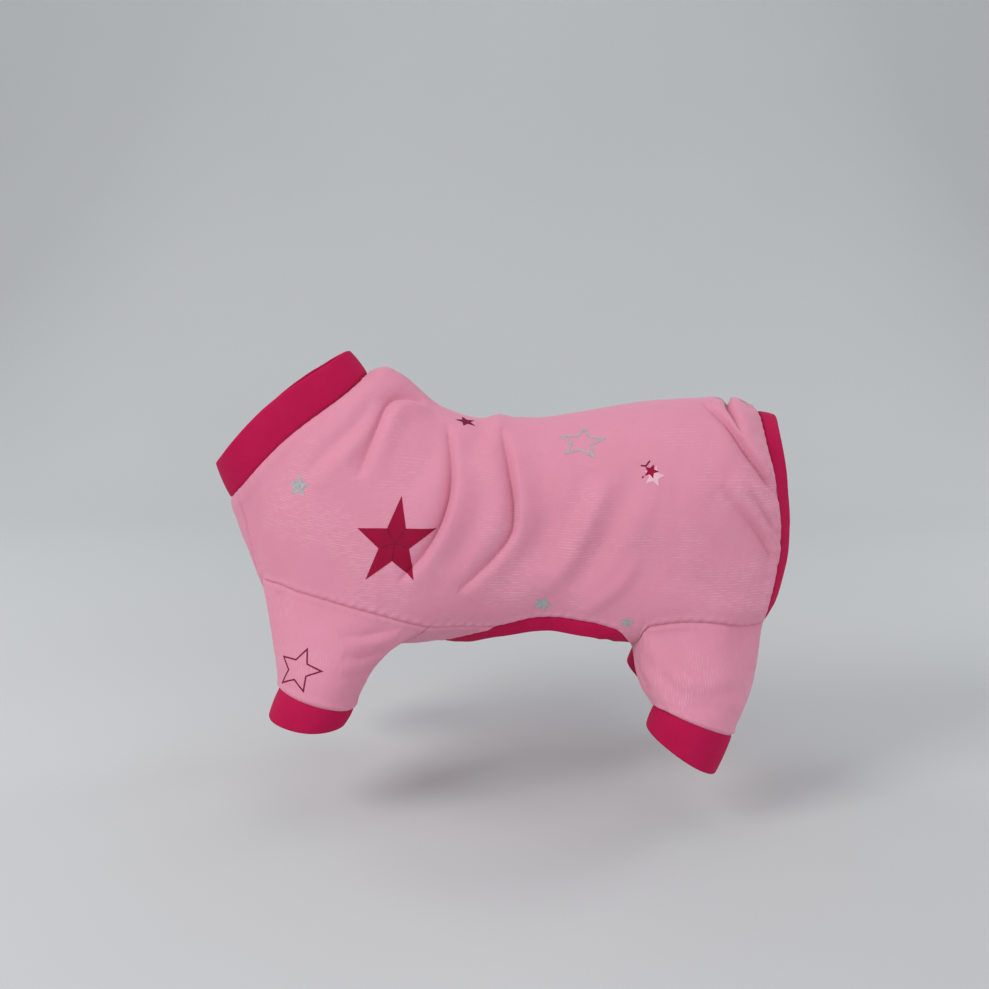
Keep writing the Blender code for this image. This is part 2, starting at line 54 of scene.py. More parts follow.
SECTION_COLUMNS = ("along", "back_x", "back_z", "keel_x", "keel_z", "side_y", "upper", "lower", "flare", "bow")
SECTIONS = (
    (0.00, -0.520, 0.195, -0.875, -0.37, 0.60, 2.0, 2.0, 0.00, -0.026),
    (0.03, -0.480, 0.228, -0.855, -0.50, 0.68, 2.0, 2.0, 0.00, -0.020),
    (0.07, -0.440, 0.200, -0.830, -0.63, 0.78, 2.0, 2.2, 0.00, -0.012),
    (0.12, -0.400, 0.142, -0.800, -0.76, 0.86, 2.0, 2.5, 0.02, -0.005),
    (0.18, -0.350, 0.06, -0.750, -0.90, 0.93, 2.0, 3.0, 0.05, 0.000),
    (0.25, -0.290, 0.01, -0.655, -0.98, 0.98, 2.0, 3.8, 0.08, 0.000),
    (0.33, -0.225, -0.01, -0.520, -1.01, 1.00, 2.0, 3.8, 0.08, 0.000),
    (0.41, -0.155, -0.01, -0.385, -1.01, 0.98, 2.0, 3.2, 0.04, 0.000),
    (0.50, -0.075, -0.01, -0.240, -1.00, 0.96, 2.0, 2.8, 0.00, 0.000),
    (0.60, 0.020, 0.015, -0.080, -0.98, 0.95, 2.0, 2.8, 0.00, 0.000),
    (0.70, 0.120, 0.05, 0.065, -1.00, 0.97, 2.1, 3.6, 0.05, 0.000),
    (0.79, 0.220, 0.07, 0.200, -0.99, 0.99, 2.2, 4.5, 0.08, 0.000),
    (0.87, 0.305, 0.08, 0.315, -0.96, 0.98, 2.2, 5.0, 0.10, 0.002),
    (0.94, 0.385, 0.08, 0.410, -0.93, 0.92, 2.2, 5.0, 0.12, 0.010),
    (0.98, 0.435, 0.06, 0.462, -0.91, 0.82, 2.1, 5.0, 0.14, 0.020),
    (1.00, 0.465, 0.02, 0.488, -0.90, 0.73, 2.0, 5.0, 0.15, 0.026),
)
BACK_EDGE = (
    (0.00, 0.84), (0.06, 0.86), (0.115, 0.845), (0.145, 0.77), (0.18, 0.715), (0.25, 0.670), (0.32, 0.680),
    (0.37, 0.710), (0.405, 0.738), (0.46, 0.760), (0.52, 0.775), (0.57, 0.755), (0.64, 0.740), (0.70, 0.738),
    (0.733, 0.765), (0.749, 0.815), (0.754, 0.838), (0.759, 0.800), (0.764, 0.755), (0.770, 0.733),
    (0.785, 0.722), (0.805, 0.716), (0.84, 0.713), (0.90, 0.730), (0.96, 0.775), (1.00, 0.800),
)
FRONT_HOLE = (0.115, 0.405)
HIND_HOLE = (0.754, 1.00)
FRONT_HOLE_DEPTH = 0.10
HIND_HOLE_DEPTH = 0.05
HOLE_ROUNDNESS = 0.7
THIGH_BREAKS = (HIND_HOLE[0], HIND_HOLE[0] + 0.02, HIND_HOLE[1])
SIDE_SEAM_END = 0.52
CHEST_SCOOP = 0.20
TAIL_SCOOP = 0.025
TAIL_SCOOP_FROM = 0.55
TAIL_SCOOP_POWER = 8

# Each leg: its cuff's middle and slopes, its sleeve's hole, and the sleeve's pulls at both seams by turn.
LEG_COLUMNS = ("x", "y", "z", "seam_pitch", "seam_splay", "free_pitch", "free_splay", "lean", "spread")
LEGS = {
    "front": dict(
        zip(LEG_COLUMNS, (-0.637, 0.95, -1.185, 18, 5, 8, -2, 26, 8)),
        cuff_radius=0.0236,
        cuff_height=0.0155,
        hole=FRONT_HOLE,
        hole_depth=FRONT_HOLE_DEPTH,
        hole_rows=(FRONT_HOLE, (96,)),
        length=0.055,
        flat=(0.185, 0.052),
        area=0.0091,
        pulls=(
            (0, 0.05, 0.00, 0.00, -0.15, 0.00, 0.00),
            (90, 0.05, -0.22, -0.05, 0.00, -0.10, 0.00),
            (180, -0.50, 0.05, 0.32, 0.55, 0.00, -0.15),
            (270, 0.00, 0.20, -0.05, 0.00, 0.10, 0.00),
            (360, 0.05, 0.00, 0.00, -0.15, 0.00, 0.00),
        ),
    ),
    "hind": dict(
        zip(LEG_COLUMNS, (0.291, 0.98, -1.290, 22, 12, 34, 3, 23, 7)),
        cuff_radius=0.0260,
        cuff_height=0.0200,
        hole=HIND_HOLE,
        hole_depth=HIND_HOLE_DEPTH,
        hole_rows=(THIGH_BREAKS, (18, 78)),
        length=0.070,
        flat=(0.200, 0.066),
        area=0.0110,
        pulls=(
            (0, -0.22, -0.15, -0.20, 0.30, 0.05, 0.25),
            (90, 0.00, -0.30, -0.05, 0.00, -0.12, 0.00),
            (180, 0.10, -0.05, -0.05, -0.08, 0.00, 0.00),
            (270, 0.00, 0.15, -0.05, 0.00, 0.10, 0.00),
            (360, -0.22, -0.15, -0.20, 0.30, 0.05, 0.25),
        ),
    ),
}
BILLOW = 0.22
SEAM_REACH = 0.25
NECK_LEAN_TOP = 35
NECK_LEAN_KEEL = 22
NECK_DRAW = 0.04
NECK_WIDENING = 3
BELLY_CURL = -12
THIGH_CURL = 40
TAIL_CURL_TOP = 5
TAIL_CURL_SIDE = 36
TAIL_CURL_TURN = (0.15, 0.45)
BINDING_CUTS = 6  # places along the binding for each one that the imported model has
BINDING_SMOOTHING = 3
BINDING_AIM = 0.94
BINDING_EASE = 20  # passes that even out the folds where the binding starts
CHEST_STEPS = 8
BELLY_STEPS = 10
TAIL_STEPS = 28
CORNER_STEPS = 1.6
CORNER_PASSES = 60

# The folds of the body. Each is a line over four or five places (along, around) down the flank, in shares of the
# torso. The other sizes are in millimetres. The valley is near_w wide towards the neck and far_w towards the tail,
# with a narrow slit at its foot, and a crest stands crest_at behind it and leans over it. A depth below 0 is a
# ridge. A fold with ends 1 runs out over the tail edge. The last two sizes are 0 where they are left out.
FOLD_COLUMNS = ("near_w", "far_w", "depth", "sharp", "slit", "crest", "crest_at", "crest_w", "lean", "ends")
FOLDS = (
    (((0.060, 0.17), (0.070, 0.28), (0.067, 0.38), (0.064, 0.52)), 5.5, 6.0, 3.0, 1.8, 0.0, 1.7, 9.0, 6.0),
    (((0.158, 0.04), (0.097, 0.135), (0.107, 0.24), (0.140, 0.38)), 6.5, 4.5, 4.8, 1.6, 1.8, 2.5, 8.5, 7.0, 1.4, 0),
    (((0.205, 0.06), (0.225, 0.16), (0.235, 0.27), (0.222, 0.36)), 9.0, 8.0, 1.3, 2.0, 0.0, 0.6, 12.0, 8.0),
    (
        ((0.232, 0.08), (0.305, 0.242), (0.335, 0.350), (0.340, 0.458), (0.322, 0.57)),
        4.6, 3.5, 4.1, 1.5, 2.0, 2.2, 7.0, 7.5, 1.9, 0,
    ),
    (((0.318, 0.00), (0.334, 0.09), (0.328, 0.17), (0.345, 0.25)), 6.0, 6.0, 1.3, 2.0, 0.0, 0.0, 9.0, 6.0),
    (((0.398, 0.18), (0.378, 0.10), (0.362, 0.04), (0.357, 0.00)), 7.0, 7.0, -3.2, 2.0, 0.0, 0.0, 9.0, 6.0, 0.0, 1),
    (((0.318, 0.12), (0.392, 0.302), (0.412, 0.40), (0.392, 0.56)), 9.0, 8.0, 1.5, 2.0, 0.0, 0.8, 10.0, 7.0),
    (
        ((0.385, 0.09), (0.443, 0.250), (0.480, 0.370), (0.486, 0.470), (0.430, 0.620)),
        4.4, 3.5, 3.9, 1.5, 2.0, 2.2, 7.0, 7.0, 1.9, 0,
    ),
    (((0.490, 0.20), (0.545, 0.34), (0.555, 0.45), (0.500, 0.635)), 9.0, 9.0, 2.3, 2.0, 0.0, 1.0, 14.0, 9.0),
    (((0.630, 0.27), (0.612, 0.37), (0.592, 0.46), (0.570, 0.58)), 9.0, 6.0, 2.4, 1.9, 0.0, 0.8, 9.0, 6.0),
    (((0.672, 0.30), (0.650, 0.40), (0.625, 0.53), (0.580, 0.65)), 6.0, 6.0, -2.3, 2.0, 0.0, 0.0, 9.0, 6.0),
    (((0.735, 0.26), (0.705, 0.385), (0.676, 0.50), (0.630, 0.64)), 8.0, 7.0, 2.2, 2.0, 0.0, 1.2, 11.0, 8.0),
    (((0.745, 0.52), (0.722, 0.59), (0.690, 0.65), (0.645, 0.72)), 5.0, 5.0, -1.8, 2.0, 0.0, 0.0, 9.0, 6.0),
    (((0.880, 0.05), (0.922, 0.155), (0.958, 0.253), (1.000, 0.352)), 5.0, 2.6, 3.6, 1.4, 3.4, 2.8, 6.0, 9.0, 2.8, 1),
    (((0.928, -0.09), (0.936, 0.02), (0.940, 0.09), (0.956, 0.190)), 4.2, 2.8, 3.2, 1.5, 3.2, 1.5, 5.0, 4.5, 1.6, 0),
    (((0.950, 0.355), (0.972, 0.41), (0.988, 0.46), (1.000, 0.51)), 4.5, 3.0, 2.6, 1.6, 2.2, 1.8, 6.0, 5.0, 1.6, 1),
    (((0.895, 0.34), (0.938, 0.43), (0.968, 0.50), (1.000, 0.60)), 8.0, 4.0, 2.8, 1.7, 2.0, 2.2, 7.5, 7.0, 1.6, 1),
    (((0.800, 0.56), (0.850, 0.60), (0.910, 0.645), (0.985, 0.67)), 8.0, 7.0, 0.9, 2.0, 0.0, 0.3, 12.0, 8.0),
)
SLIT_WIDTH = 1.2  # millimetres
FOLD_END = 5.0  # millimetres over which a fold fades beyond its line's ends
CREST_FOOT = 0.62  # the crest's width on the valley's side, as a share of its distance
VALLEY_REACH = 3  # how many of its widths a valley's form is followed
CREST_REACH = 2.5
EDGE_TUCK = 0.85  # how far the folds give way where the cloth meets the binding at the tail
EDGE_TUCK_OVER = 0.018
FOLD_SAMPLES = 110
FOLD_FADE = 0.48
FAR_SIDE_SHIFT = 0.015
FAR_SIDE_STRENGTH = 0.85
FAR_SIDE_BLEND = 0.2
OVER_THE_BACK = 0.15  # how far a fold that starts at the middle line runs on over the back
STARTS_AT_BACK = 0.02

# The folds of the sleeves: lines over three places (turn about the leg in degrees, share of the sleeve's length)
SLEEVE_FOLDS = {
    "front": (
        (((28, 0.06), (26, 0.40), (20, 0.80)), 5.0, 5.0, 1.3, 2.0, 0.0, 0.8, 8.0, 6.0),
        (((160, 0.10), (135, 0.22), (100, 0.30)), 4.5, 3.5, 1.2, 1.8, 0.4, 0.6, 5.0, 4.0),
        (((172, 0.38), (145, 0.46), (112, 0.48)), 4.0, 3.0, 1.1, 1.8, 0.3, 0.6, 5.0, 4.0),
        (((178, 0.62), (150, 0.66), (120, 0.64)), 3.5, 3.0, 0.7, 1.8, 0.0, 0.4, 5.0, 4.0),
        (((230, 0.10), (255, 0.35), (290, 0.50)), 5.0, 5.0, 1.2, 1.8, 0.0, 0.6, 8.0, 5.0),
        (((200, 0.30), (235, 0.60), (270, 0.75)), 5.0, 5.0, 1.0, 1.8, 0.0, 0.5, 8.0, 5.0),
    ),
    "hind": (
        (((30, 0.30), (72, 0.74), (140, 0.62)), 9.0, 6.0, 2.3, 2.0, 0.0, 1.3, 9.0, 6.5),
        (((12, 0.26), (14, 0.48), (26, 0.74)), 3.2, 3.2, 1.2, 1.7, 0.3, 0.8, 5.0, 3.5),
        (((70, 0.88), (110, 0.80), (160, 0.84)), 4.5, 4.5, 0.8, 2.0, 0.0, 0.5, 6.0, 5.0),
        (((200, 0.25), (240, 0.50), (300, 0.60)), 6.0, 5.0, 1.5, 1.8, 0.0, 0.8, 8.0, 6.0),
        (((330, 0.30), (300, 0.62), (250, 0.80)), 5.0, 5.0, 1.2, 1.8, 0.0, 0.6, 8.0, 5.0),
    ),
}

# Seams and cloth
JERSEY_LAYER = 0.0011
SEAM_DIP = 0.0006
SEAM_GROOVE = 0.0006
SEAM_EDGE = 1.6
SEAM_ROLL = 0.00050
SEAM_ROLL_AT = 0.0026
SEAM_ROLL_WIDTH = 0.0017
SEAM_CLUSTER = (0.0034, 0.0026, 0.0019, 0.0013, 0.0008, 0.0004, 0.0)
PUCKER_HEIGHT = 0.00010
PUCKER_PITCH = 0.0065
PUCKER_DRIFT = 0.017
PUCKER_REACH = 0.005
RIPPLE_HEIGHTS = (0.00032, 0.00016, 0.00003)  # of the slow ripples, the creases and the fine ripples
HEM_ROLL = 0.00085
HEM_ROLL_AT = 0.0022
HEM_ROLL_WIDTH = 0.0021
HEM_GROOVE = 0.0009
BACK_GATHERS = (0.002, 0.0125, (1.3, 0.021))  # where they start, their pitch, and how they wander
SLEEVE_GATHERS = (0.0015, 0.0105, (1.2, 0.013))
SLEEVE_STRENGTH = {-1: 1.0, 1: 0.9}  # how strong the sleeves' folds are on each side
SLEEVE_RIPPLES_FROM = 0.15
INSEAM = 270  # the turn where a sleeve's inner seam is
LINE_PASSES = 4  # passes that smooth a sleeve fold's line

# Rows and columns of the meshes
BACK_ROWS = ((0, 0.115, 0.24, 0.50, 0.74, 0.78, 0.88, 1.0), (32, 30, 104, 64, 18, 28, 46))
BACK_COLUMNS = 92
CHEST_COLUMNS = 26
SLEEVE_ROWS = 59
CUFF_COLUMNS = 180
NECK_COLUMNS = 360
ROW_CLEARANCE = 0.002
KEEP_EACH = 2  # the cloth's inner face keeps every second row and column of its outer face

PINK = (0.715, 0.272, 0.378)
COOL_PINK = (0.78, 0.33, 0.47)
MAGENTA = (0.480, 0.005, 0.066)

# The knit, in millimetres
LINE_PITCH = 1.75
WALE = 1.05
COURSE = 0.85
RIB_PITCH = 1.5
RIB_COURSE = 0.8


def unit(vectors):
    return vectors / np.maximum(np.linalg.norm(vectors, axis=-1, keepdims=True), 1e-12)


def smooth_step(share):
    share = np.clip(share, 0, 1)
    return share * share * (3 - 2 * share)


def curve_weights(f):
    """What a smooth curve's start, its pull there, its end and its pull there count for."""
    return 2 * f**3 - 3 * f**2 + 1, f**3 - 2 * f**2 + f, 3 * f**2 - 2 * f**3, f**3 - f**2


def line_run(points):
    """The distance along a line at each of its points."""
    return np.concatenate([[0], np.cumsum(np.linalg.norm(np.diff(points, axis=0), axis=1))])


def read_between(knots, values, at):
    """A smooth curve through (knots, values), read at the places given."""
    knots = np.asarray(knots, float)
    values = np.asarray(values, float)
    slopes = np.gradient(values, knots, axis=0)
    at = np.clip(np.asarray(at, float), knots[0], knots[-1])
    k = np.clip(np.searchsorted(knots, at, side="right") - 1, 0, len(knots) - 2)
    span = knots[k + 1] - knots[k]
    f = (at - knots[k]) / span
    if values.ndim > 1:
        f = f[..., None]
        span = span[..., None]
    starting, leaving, ending, meeting = curve_weights(f)
    from_start = starting * values[k] + leaving * span * slopes[k]
    return from_start + ending * values[k + 1] + meeting * span * slopes[k + 1]


# The torso's smooth surface is read once on a close grid, and every piece reads it from there.
GIRTH_SAMPLES = 400
GRID_U = 640
GRID_G = 640


def half_girth(u):
    """Half a girth section from the back to the keel: the shares of its length, its points at +Y and its length."""
    table = np.array(SECTIONS)
    s = dict(zip(SECTION_COLUMNS, read_between(table[:, 0], table, np.array(u))))
    for name in ("back_x", "keel_x", "bow"):
        s[name] *= BODY_LENGTH
    for name in ("back_z", "keel_z"):
        s[name] *= BODY_DEPTH
    s["side_y"] *= BODY_WIDTH / 2
    turn = np.linspace(0, math.pi / 2, GIRTH_SAMPLES)
    side_z = (s["back_z"] + s["keel_z"]) / 2
    upper_y = s["side_y"] * np.sin(turn) ** (2 / s["upper"])
    upper_z = side_z + (s["back_z"] - side_z) * np.cos(turn) ** (2 / s["upper"])
    drop = np.sin(turn) ** (2 / s["lower"])
    lower_y = s["side_y"] * np.maximum(np.cos(turn), 0) ** (2 / s["lower"]) * (1 + s["flare"] * drop**2)
    lower_z = side_z - (side_z - s["keel_z"]) * drop
    y = np.concatenate([upper_y, lower_y[1:]])
    z = np.concatenate([upper_z, lower_z[1:]])
    down = (s["back_z"] - z) / (s["back_z"] - s["keel_z"])
    x = s["back_x"] + (s["keel_x"] - s["back_x"]) * down + s["bow"] * np.sin(math.pi * down) ** 2
    points = np.stack([x, y, z], axis=-1)
    run = line_run(points)
    return run / run[-1], points, run[-1]


def read_torso():
    shares_g = np.linspace(0, 1, GRID_G + 1)
    points = np.empty((GRID_U + 1, GRID_G + 1, 3))
    lengths = np.empty(GRID_U + 1)
    for i, u in enumerate(np.linspace(0, 1, GRID_U + 1)):
        shares, section, lengths[i] = half_girth(u)
        for axis in range(3):
            points[i, :, axis] = np.interp(shares_g, shares, section[:, axis])
    return points, lengths


TORSO_GRID, GIRTH_LENGTHS = read_torso()


def girth_length(u):
    return np.interp(u, np.linspace(0, 1, GRID_U + 1), GIRTH_LENGTHS)


def smooth_torso(u, g):
    """Points of the garment's outer face without its folds. g is below 0 on the wearer's left."""
    u, g = np.broadcast_arrays(np.asarray(u, float), np.asarray(g, float))
    row = np.clip(u, 0, 1) * GRID_U
    column = np.clip(np.abs(g), 0, 1) * GRID_G
    r = np.minimum(row.astype(int), GRID_U - 1)
    c = np.minimum(column.astype(int), GRID_G - 1)
    fr = (row - r)[..., None]
    fc = (column - c)[..., None]
    out = (
        (1 - fr) * (1 - fc) * TORSO_GRID[r, c]
        + (1 - fr) * fc * TORSO_GRID[r, c + 1]
        + fr * (1 - fc) * TORSO_GRID[r + 1, c]
        + fr * fc * TORSO_GRID[r + 1, c + 1]
    )
    out[..., 1] *= np.where(g < 0, -1, 1)
    return out


def torso_normal(u, g, step=0.01):
    u, g = np.broadcast_arrays(np.asarray(u, float), np.asarray(g, float))
    along = smooth_torso(np.minimum(u + step, 1), g) - smooth_torso(np.maximum(u - step, 0), g)
    around = smooth_torso(u, np.minimum(g + step, 1)) - smooth_torso(u, np.maximum(g - step, -1))
    return unit(np.cross(along, around))


# Slow ripples in the cloth, the same at every place for every piece, so that neighbours meet
def ripple_field(seed, count, short, long, stretch=(1, 1, 1)):
    rng = np.random.default_rng(seed)
    lengths = np.exp(rng.uniform(math.log(short), math.log(long), count))
    waves = unit(rng.normal(size=(count, 3))) * (2 * math.pi / lengths)[:, None] / np.array(stretch)
    return waves, rng.uniform(0, 2 * math.pi, count)


def ripple(points, field):
    waves, phases = field
    return np.sin(points @ waves.T + phases).sum(axis=-1) / math.sqrt(len(phases) / 2)


SLOW_RIPPLES = ripple_field(11, 18, 0.030, 0.070)
CREASES = ripple_field(23, 22, 0.012, 0.030, (1.0, 1.6, 2.2))
FINE_RIPPLES = ripple_field(37, 26, 0.004, 0.010)
PATCHES = ripple_field(41, 14, 0.050, 0.110)


def cloth_ripples(points):
    """Soft unevenness, faint creases where the cloth is slack, and a fine ripple."""
    slow, crease, fine = RIPPLE_HEIGHTS
    patch = smooth_step(0.5 + 0.6 * ripple(points, PATCHES))
    creases = 1 - np.abs(ripple(points, CREASES))
    return slow * ripple(points, SLOW_RIPPLES) + crease * patch * creases + fine * ripple(points, FINE_RIPPLES)


def bell(distance, width, power=2):
    """1 at no distance, falling off over the width."""
    return np.exp(-((distance / width) ** power))


def fold_move(points, normals, line, fold):
    """How one fold moves each point: a lift off the cloth, and a lean of its crest over its valley. line is the
    fold's own line, from its start to its end."""
    row = {"lean": 0.0, "ends": 0, **dict(zip(FOLD_COLUMNS, fold[1:]))}
    flat = points.reshape(-1, 3)
    move = np.zeros(flat.shape)
    heading = unit(np.gradient(line, axis=0))
    valley_reach = VALLEY_REACH * max(row["near_w"], row["far_w"])
    reach = 0.001 * max(valley_reach, row["crest_at"] + CREST_REACH * row["crest_w"])
    low, high = line.min(axis=0) - reach, line.max(axis=0) + reach
    close = np.nonzero(((flat > low) & (flat < high)).all(axis=1))[0]
    if len(close):
        here, out = flat[close], normals.reshape(-1, 3)[close]
        nearest = np.linalg.norm(here[:, None, :] - line, axis=-1).argmin(axis=-1)
        beyond = unit(np.cross(out, heading[nearest]))
        away = 1000 * ((here - line[nearest]) * beyond).sum(axis=-1)
        off_end = 1000 * np.abs(((here - line[nearest]) * heading[nearest]).sum(axis=-1))
        share = nearest / (len(line) - 1)
        if row["ends"]:
            share = share / 2
        fade = np.sin(math.pi * share) ** FOLD_FADE * bell(off_end, FOLD_END)
        valley = row["depth"] * bell(np.abs(away), np.where(away < 0, row["near_w"], row["far_w"]), row["sharp"])
        from_crest = away - row["crest_at"]
        crest = bell(from_crest, np.where(from_crest < 0, CREST_FOOT * row["crest_at"], row["crest_w"]))
        lift = fade * (row["crest"] * crest - valley - row["slit"] * bell(away, SLIT_WIDTH))
        lean = fade * row["lean"] * crest
        move[close] = 0.001 * (lift[:, None] * out - lean[:, None] * beyond)
    return move.reshape(points.shape)


def fold_path(fold):
    """A fold's places from its start to its end."""
    knots = np.array(fold[0], float)
    path = read_between(np.linspace(0, 1, len(knots)), knots, np.linspace(0, 1, FOLD_SAMPLES))
    return path[:, 0], path[:, 1]


def fold_moves(u, g):
    """How the folds move the cloth off the smooth torso."""
    u, g = np.broadcast_arrays(np.asarray(u, float), np.asarray(g, float))
    far = smooth_step(g / FAR_SIDE_BLEND + 0.5)
    tuck = EDGE_TUCK * smooth_step(1 + (u - tail_scoop(1.0, g)) / EDGE_TUCK_OVER)
    u = u - FAR_SIDE_SHIFT * far
    mirrored = np.where(g[..., None] > 0, np.array([1, -1, 1]), np.ones(3))
    points = smooth_torso(u, -np.abs(g))
    normals = torso_normal(u, -np.abs(g))
    over = (np.abs(g) < OVER_THE_BACK) & (g > 0)
    moves = np.zeros(u.shape + (3,))
    for fold in FOLDS:
        along, around = fold_path(fold)
        line = smooth_torso(along, -around)
        move = fold_move(points, normals, line, fold) * mirrored
        if around.min() < STARTS_AT_BACK and over.any():
            crossing = fold_move(smooth_torso(u, g), torso_normal(u, g), line, fold)
            more = (crossing**2).sum(axis=-1) > (move**2).sum(axis=-1)
            move = np.where((over & more)[..., None], crossing, move)
        moves += move
    return moves * ((1 - (1 - FAR_SIDE_STRENGTH) * far) * (1 - tuck))[..., None]


def torso(u, g):
    """Points of the garment's outer face."""
    smooth = smooth_torso(u, g)
    return smooth + fold_moves(u, g) + cloth_ripples(smooth)[..., None] * torso_normal(u, g)


def back_edge(u):
    table = np.array(BACK_EDGE)
    return read_between(table[:, 0], table[:, 1], u)


def inner_edge(u, hole, depth):
    share = np.clip((u - hole[0]) / (hole[1] - hole[0]), 0, 1)
    ends = back_edge(np.array(hole))
    beside = ends[0] + (ends[1] - ends[0]) * share + depth * np.sin(math.pi * share) ** HOLE_ROUNDNESS
    return np.where((share > 0) & (share < 1), beside, back_edge(u))


def tail_scoop(u, g):
    beside = smooth_step((np.abs(g) - TAIL_SCOOP_FROM) / (1 - TAIL_SCOOP_FROM))
    return u * (1 - TAIL_SCOOP * beside * u**TAIL_SCOOP_POWER)


def chest_scoop(u, across):
    return u * (1 - CHEST_SCOOP * (1 - across**2) * (u / SIDE_SEAM_END) ** 2)


def rows_between(breaks, counts):
    pieces = [np.linspace(a, b, n, endpoint=False) for a, b, n in zip(breaks, breaks[1:], counts)]
    return np.concatenate(pieces + [breaks[-1:]])


def tube_normals(points):
    """The ways out of a grid that closes round its second axis."""
    across = np.roll(points, -1, axis=1) - np.roll(points, 1, axis=1)
    normals = unit(np.cross(np.gradient(points, axis=0), across))
    return normals * np.sign((normals * (points - points.mean(axis=1, keepdims=True))).sum())


def seam_profile(distance, along, seed=0.0, roll=1.0):
    """A seam's groove, the cloth's roll beside it, and the small puckers that its stitches pull."""
    pucker = np.sin(2 * math.pi * along / PUCKER_PITCH + seed + 1.7 * np.sin(along / PUCKER_DRIFT))
    pucker = pucker + 0.5 * np.sin(2 * math.pi * along / (0.43 * PUCKER_PITCH) + 2 * seed)
    rise = roll * SEAM_ROLL * (1 + 0.30 * pucker) * bell(distance - SEAM_ROLL_AT, SEAM_ROLL_WIDTH)
    spread = PUCKER_HEIGHT * roll * pucker * np.exp(-distance / PUCKER_REACH)
    return rise + spread - SEAM_DIP * bell(distance, SEAM_GROOVE, SEAM_EDGE)


def gathers(distance, along, height, reach, start, pitch, drift, seed=0.0):
    """Small waves in cloth that is drawn into a band. drift is by how much, and over what length, they wander."""
    waves = np.sin(2 * math.pi * along / pitch + drift[0] * np.sin(along / drift[1]) + seed)
    return height * waves * np.exp(-distance / reach) * smooth_step(distance / start)


def run_of(points, axis):
    """The distance along a grid's lines."""
    steps = np.linalg.norm(np.diff(points, axis=axis), axis=-1)
    pad = [(0, 0), (0, 0)]
    pad[axis] = (1, 0)
    return np.pad(np.cumsum(steps, axis=axis), pad)


def mesh_from(name, points, faces, loop_uv, material):
    mesh = bpy.data.meshes.new(name)
    mesh.from_pydata(points.tolist(), [], faces)
    layer = mesh.uv_layers.new(name="cloth")
    layer.data.foreach_set("uv", np.asarray(loop_uv, np.float32).ravel())
    mesh.polygons.foreach_set("use_smooth", np.full(len(mesh.polygons), True))
    mesh.materials.append(material)
    mesh.validate()
    mesh.update()
    piece = bpy.data.objects.new(name, mesh)
    bpy.context.scene.collection.objects.link(piece)
    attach(piece, "root")
    return piece


def quads(rows, columns, steps, base, flip):
    """Faces of a grid, as vertex places and as (row, column) places of their UVs."""
    r, c = np.meshgrid(np.arange(rows - 1), np.arange(steps), indexing="ij")
    corners = [(r, c), (r + 1, c), (r + 1, c + 1), (r, c + 1)]
    if flip:
        corners = corners[::-1]
    vertices = np.stack([base + a * columns + b % columns for a, b in corners], axis=-1).reshape(-1, 4)
    places = np.stack([np.stack([a, b], axis=-1) for a, b in corners], axis=2).reshape(-1, 4, 2)
    return vertices, places


def cloth_piece(node, outer, normals, uv, material, closed):
    """One layer of cloth. Its inner face has fewer points, and a rim joins the two."""
    k = KEEP_EACH
    rows, columns = outer.shape[:2]
    steps = columns if closed else columns - 1
    inner = (outer - JERSEY_LAYER * normals)[::k, ::k]
    inner_uv = uv[::k, ::k]
    inner_rows, inner_columns = inner.shape[:2]
    inner_steps = steps // k
    way_out = np.cross(outer[1, 0] - outer[0, 0], outer[0, 1] - outer[0, 0])
    flip = float(way_out @ normals[0, 0]) < 0
    base = rows * columns
    front, front_uv = quads(rows, columns, steps, 0, flip)
    back, back_uv = quads(inner_rows, inner_columns, inner_steps, base, not flip)
    faces = front.tolist() + back.tolist()
    loops = [uv[front_uv[..., 0], front_uv[..., 1]].reshape(-1, 2)]
    loops.append(inner_uv[back_uv[..., 0], back_uv[..., 1]].reshape(-1, 2))
    rim_uv = []

    def rim(fine, coarse, turned):
        ring = fine + coarse[::-1]
        faces.append([v for v, _ in (ring[::-1] if turned else ring)])
        rim_uv.extend(t for _, t in (ring[::-1] if turned else ring))

    for r, inner_r, turned in ((0, 0, flip), (rows - 1, inner_rows - 1, not flip)):
        start = base + inner_r * inner_columns
        for c in range(inner_steps):
            fine = [(r * columns + (c * k + i) % columns, uv[r, c * k + i]) for i in range(k + 1)]
            coarse = [(start + (c + i) % inner_columns, inner_uv[inner_r, c + i]) for i in (0, 1)]
            rim(fine, coarse, turned)
    if not closed:
        for c, inner_c, turned in ((0, 0, not flip), (columns - 1, inner_columns - 1, flip)):
            for r in range(inner_rows - 1):
                fine = [((r * k + i) * columns + c, uv[r * k + i, c]) for i in range(k + 1)]
                coarse = [(base + (r + i) * inner_columns + inner_c, inner_uv[r + i, inner_c]) for i in (0, 1)]
                rim(fine, coarse, turned)
    points = np.concatenate([outer.reshape(-1, 3), inner.reshape(-1, 3)])
    loops.append(np.array(rim_uv))
    piece = mesh_from(node + "_cloth", points, faces, np.concatenate(loops), material)
    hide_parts(node)
    return piece


def band_profile(width, wall):
    """A doubled band's cross-section as (distance from the seam, depth under the outer face)."""
    half = wall / 2
    turn = np.linspace(0.12 * math.pi, 0.88 * math.pi, 9)
    outer = [(0.0, 0.0007), (0.0003, 0.0004), (0.0008, 0.00018), (0.0014, 0.00007), (0.0022, 0.00002)]
    middle = [(s, 0.0) for s in np.linspace(0.0032, width - half * 1.2, max(6, int(width / 0.0013)))]
    fold = [(width - half + half * math.sin(t), half - half * math.cos(t)) for t in turn]
    inside = [(s, wall) for s in np.linspace(width - half * 1.2, 0.0016, max(6, int(width / 0.0018)))]
    tuck = [(0.0006, wall - 0.0001), (0.0, wall - 0.0005)]
    return np.array(outer + middle + fold + inside + tuck)


